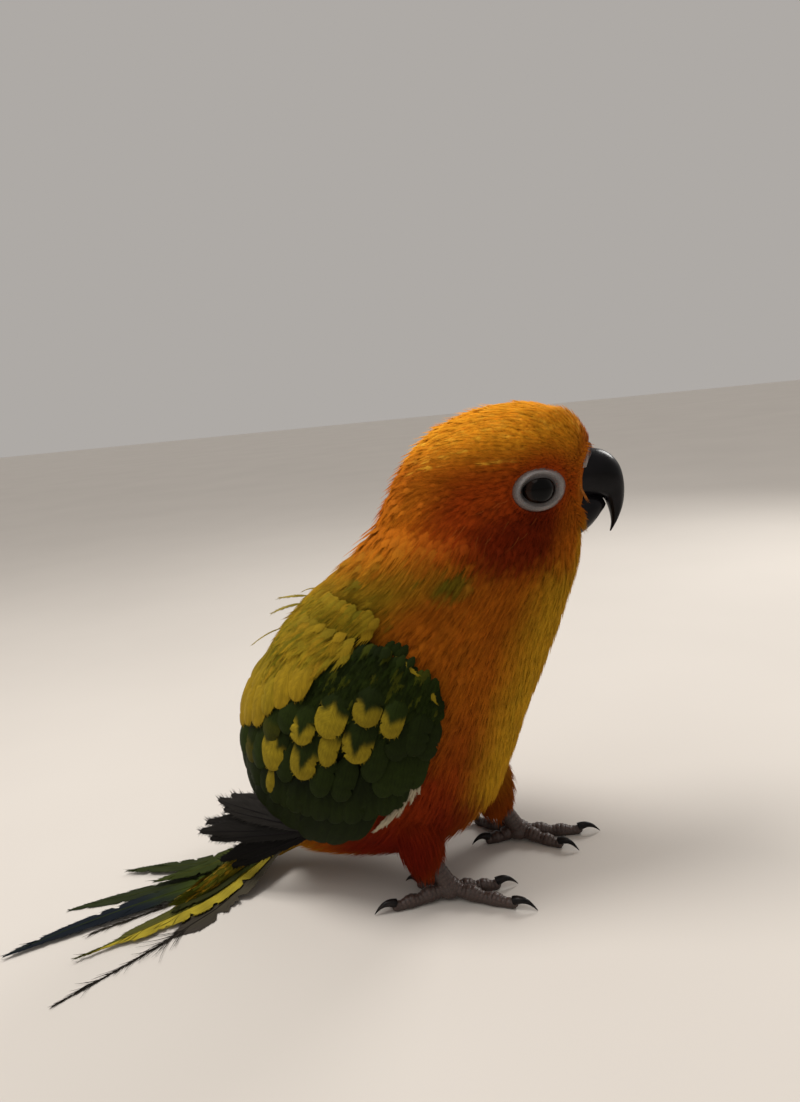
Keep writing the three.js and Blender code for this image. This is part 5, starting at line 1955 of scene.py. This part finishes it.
def foot(side):
    """One foot: the shank, four scaled toes, two ahead and two behind, and a claw on each"""
    word = SIDES[side]
    x, y, heading = FEET[side]
    build = Build()

    def along(turn, distance, z):
        a = heading - side * math.radians(turn)
        return np.stack([x + distance * math.cos(a), y + distance * math.sin(a), z], -1)

    sole = np.array([x, y, 3.0])
    ankle = ankle_of(side)
    f = np.linspace(0, 1, 60)[:, None]
    shank = sole + (ankle - sole) * f
    swell = TARSUS_RADIUS * (1.08 - 0.14 * np.sin(np.pi * f[:, 0]) + 0.06 * f[:, 0])
    round_tube(build, shank, swell, 28, FOOT_COLOUR, (1, 0, 0), 0.07, 1.3)
    s = np.linspace(0, 1, 110)
    for name, (turn, length, claw) in TOES.items():
        pad = 0.9 + 0.1 * np.cos(2 * np.pi * 3 * s)
        radius = TOE_RADIUS * (1.12 - 0.4 * s) * pad
        round_end = np.sqrt(np.clip(1 - np.clip((s - 0.84) / 0.17, 0, 1) ** 2.4, 0.03, 1))
        centres = along(turn, 0.5 + length * s, radius * 0.86 + 1.5 * (1 - s) ** 3)
        round_tube(build, centres, radius * round_end, 28, FOOT_COLOUR, scute=0.13, pitch=1.25, floor=0.0)
        claw_name = f"claw_{word}_{name}"
        horn = Build()
        c = np.linspace(0, 1, 30)
        height = 2.1 + 1.1 * np.sin(np.pi * c * 0.8) - 2.35 * c * c
        points = along(turn, length - 0.6 + (claw + 0.8) * c, height)
        sharp = CLAW_RADIUS + (0.08 - CLAW_RADIUS) * c**1.2
        round_tube(horn, points, sharp, 20, (0, 0, 0), floor=0.02)
        piece(claw_name + "_horn", horn.mesh(claw_name), CLAW_FINISH, (claw_name,))
    # The ball of the foot joins the toes.
    rows, sides = 24, 32
    polar = np.linspace(0.05, np.pi - 0.05, rows)[:, None]
    ring = ring_of(sides)[None, :]
    unit_ball = np.stack(np.broadcast_arrays(
        np.sin(polar) * np.cos(ring), np.sin(polar) * np.sin(ring), np.cos(polar)), -1)
    ball = unit_ball * BALL_OF_FOOT + np.array([x, y, 2.5])
    ball[..., 2] = np.maximum(ball[..., 2], 0)
    build.add(ball[:, ::-1], tube_faces(rows, sides), FOOT_COLOUR)
    piece(f"foot_{word}_skin", build.mesh(f"foot_{word}_skin"), FOOT_FINISH, (f"foot_{word}",))


for side in SIDES:
    foot(side)


def clear_patterns():
    """Takes out the single feathers that the node tree picked from"""
    for group in PATTERNS.values():
        for thing in list(group.objects):
            bpy.data.objects.remove(thing)
        bpy.data.collections.remove(group)


CLOSED_PIECES = ("skin", "bill", "cere", "eye", "claw", "foot", "wing", "tail", "stray", "cheek")


def face_outwards():
    """Turns the faces of every closed shape outwards"""
    for thing in bpy.context.scene.objects:
        own = thing.type == "MESH" and thing.name not in frame["nodes"]
        if own and thing.name.startswith(CLOSED_PIECES):
            shape = bmesh.new()
            shape.from_mesh(thing.data)
            bmesh.ops.recalc_face_normals(shape, faces=shape.faces)
            shape.to_mesh(thing.data)
            shape.free()


clear_patterns()
face_outwards()


# Stage, light and camera
FLOOR_HALF = 6.0
FLOOR_COLOUR, ROOM_COLOUR = "#cfc9c2", "#d6d1cc"


def floor():
    """A plain pale floor"""
    corners = [(x * FLOOR_HALF, y * FLOOR_HALF, 0) for x, y in ((-1, -1), (1, -1), (1, 1), (-1, 1))]
    mesh = bpy.data.meshes.new("floor")
    mesh.from_pydata(corners, [], [(0, 1, 2, 3)])
    material, nodes, links, principled = node_material("pale_floor", 0.7, specular=0.2)
    place = own_place(nodes)
    tone = spread(nodes, links, noise(nodes, links, place, 6, 3), 0.3, 0.7, 0.97, 1.02)
    base = nodes.new("ShaderNodeRGB")
    base.outputs[0].default_value = (*linear(FLOOR_COLOUR), 1)
    links.new(scaled(nodes, links, base.outputs[0], tone), principled.inputs["Base Color"])
    mesh.materials.append(material)
    placed("floor", mesh)


def turn_towards(thing, way):
    thing.rotation_euler = Vector(way).to_track_quat("-Z", "Y").to_euler()


def lamp(name, place, aim, size, watts, colour):
    """A round soft light, aimed at a point"""
    data = bpy.data.lights.new(name, "AREA")
    data.shape = "DISK"
    data.size = size
    data.energy = watts
    data.color = colour
    thing = placed(name, data)
    thing.location = place
    turn_towards(thing, Vector(aim) - Vector(place))


def broad_light():
    """Wide soft light from above, behind the camera"""
    data = bpy.data.lights.new("broad_light", "SUN")
    data.energy = 0.62
    data.angle = math.radians(50)
    data.color = (1.0, 0.98, 0.95)
    turn_towards(placed("broad_light", data), (0.35, 0.3, -1.0))


def pale_room():
    world = bpy.data.worlds.new("pale_room")
    world.use_nodes = True
    background = world.node_tree.nodes["Background"]
    background.inputs["Color"].default_value = (*linear(ROOM_COLOUR), 1)
    background.inputs["Strength"].default_value = 0.63
    bpy.context.scene.world = world
    bpy.context.scene.view_settings.view_transform = "Standard"


# Where the camera stands, in the bird's own millimetres, and how it is turned
CAMERA_PLACE = np.array([34.6, -208.3, 135.2])
CAMERA_TURN, CAMERA_DOWN, CAMERA_ROLL = math.radians(15), math.radians(10.6), math.radians(5.9)
LENS_MM, SENSOR_MM = 26.0, 36.0
PHOTO_WIDTH, PHOTO_HEIGHT = 800, 1102


def camera():
    """A camera at the photo's place and angle"""
    data = bpy.data.cameras.new("camera")
    data.lens = LENS_MM
    data.sensor_fit = "VERTICAL"
    data.sensor_height = SENSOR_MM
    data.sensor_width = SENSOR_MM * PHOTO_WIDTH / PHOTO_HEIGHT
    data.clip_start = 0.01
    a, p, r = CAMERA_TURN, CAMERA_DOWN, CAMERA_ROLL
    forward = Vector((-math.sin(a) * math.cos(p), math.cos(a) * math.cos(p), -math.sin(p)))
    flat = Vector((math.cos(a), math.sin(a), 0))
    down = -flat.cross(forward)
    right = flat * math.cos(r) + down * math.sin(r)
    up = -(down * math.cos(r) - flat * math.sin(r))
    turn = Matrix((right, up, -forward)).transposed()
    thing = placed("camera", data)
    thing.matrix_world = Matrix.Translation(Vector(metres(CAMERA_PLACE))) @ turn.to_4x4()
    bpy.context.scene.camera = thing


floor()
lamp("overhead_light", (-0.2, -0.06, 0.62), (0, 0, 0.07), 0.26, 2.5, (1.0, 0.97, 0.93))
lamp("back_light", (0.32, 0.5, 0.4), (0.03, 0, 0.11), 0.24, 1.6, (1.0, 0.98, 0.95))
broad_light()
camera()
pale_room()
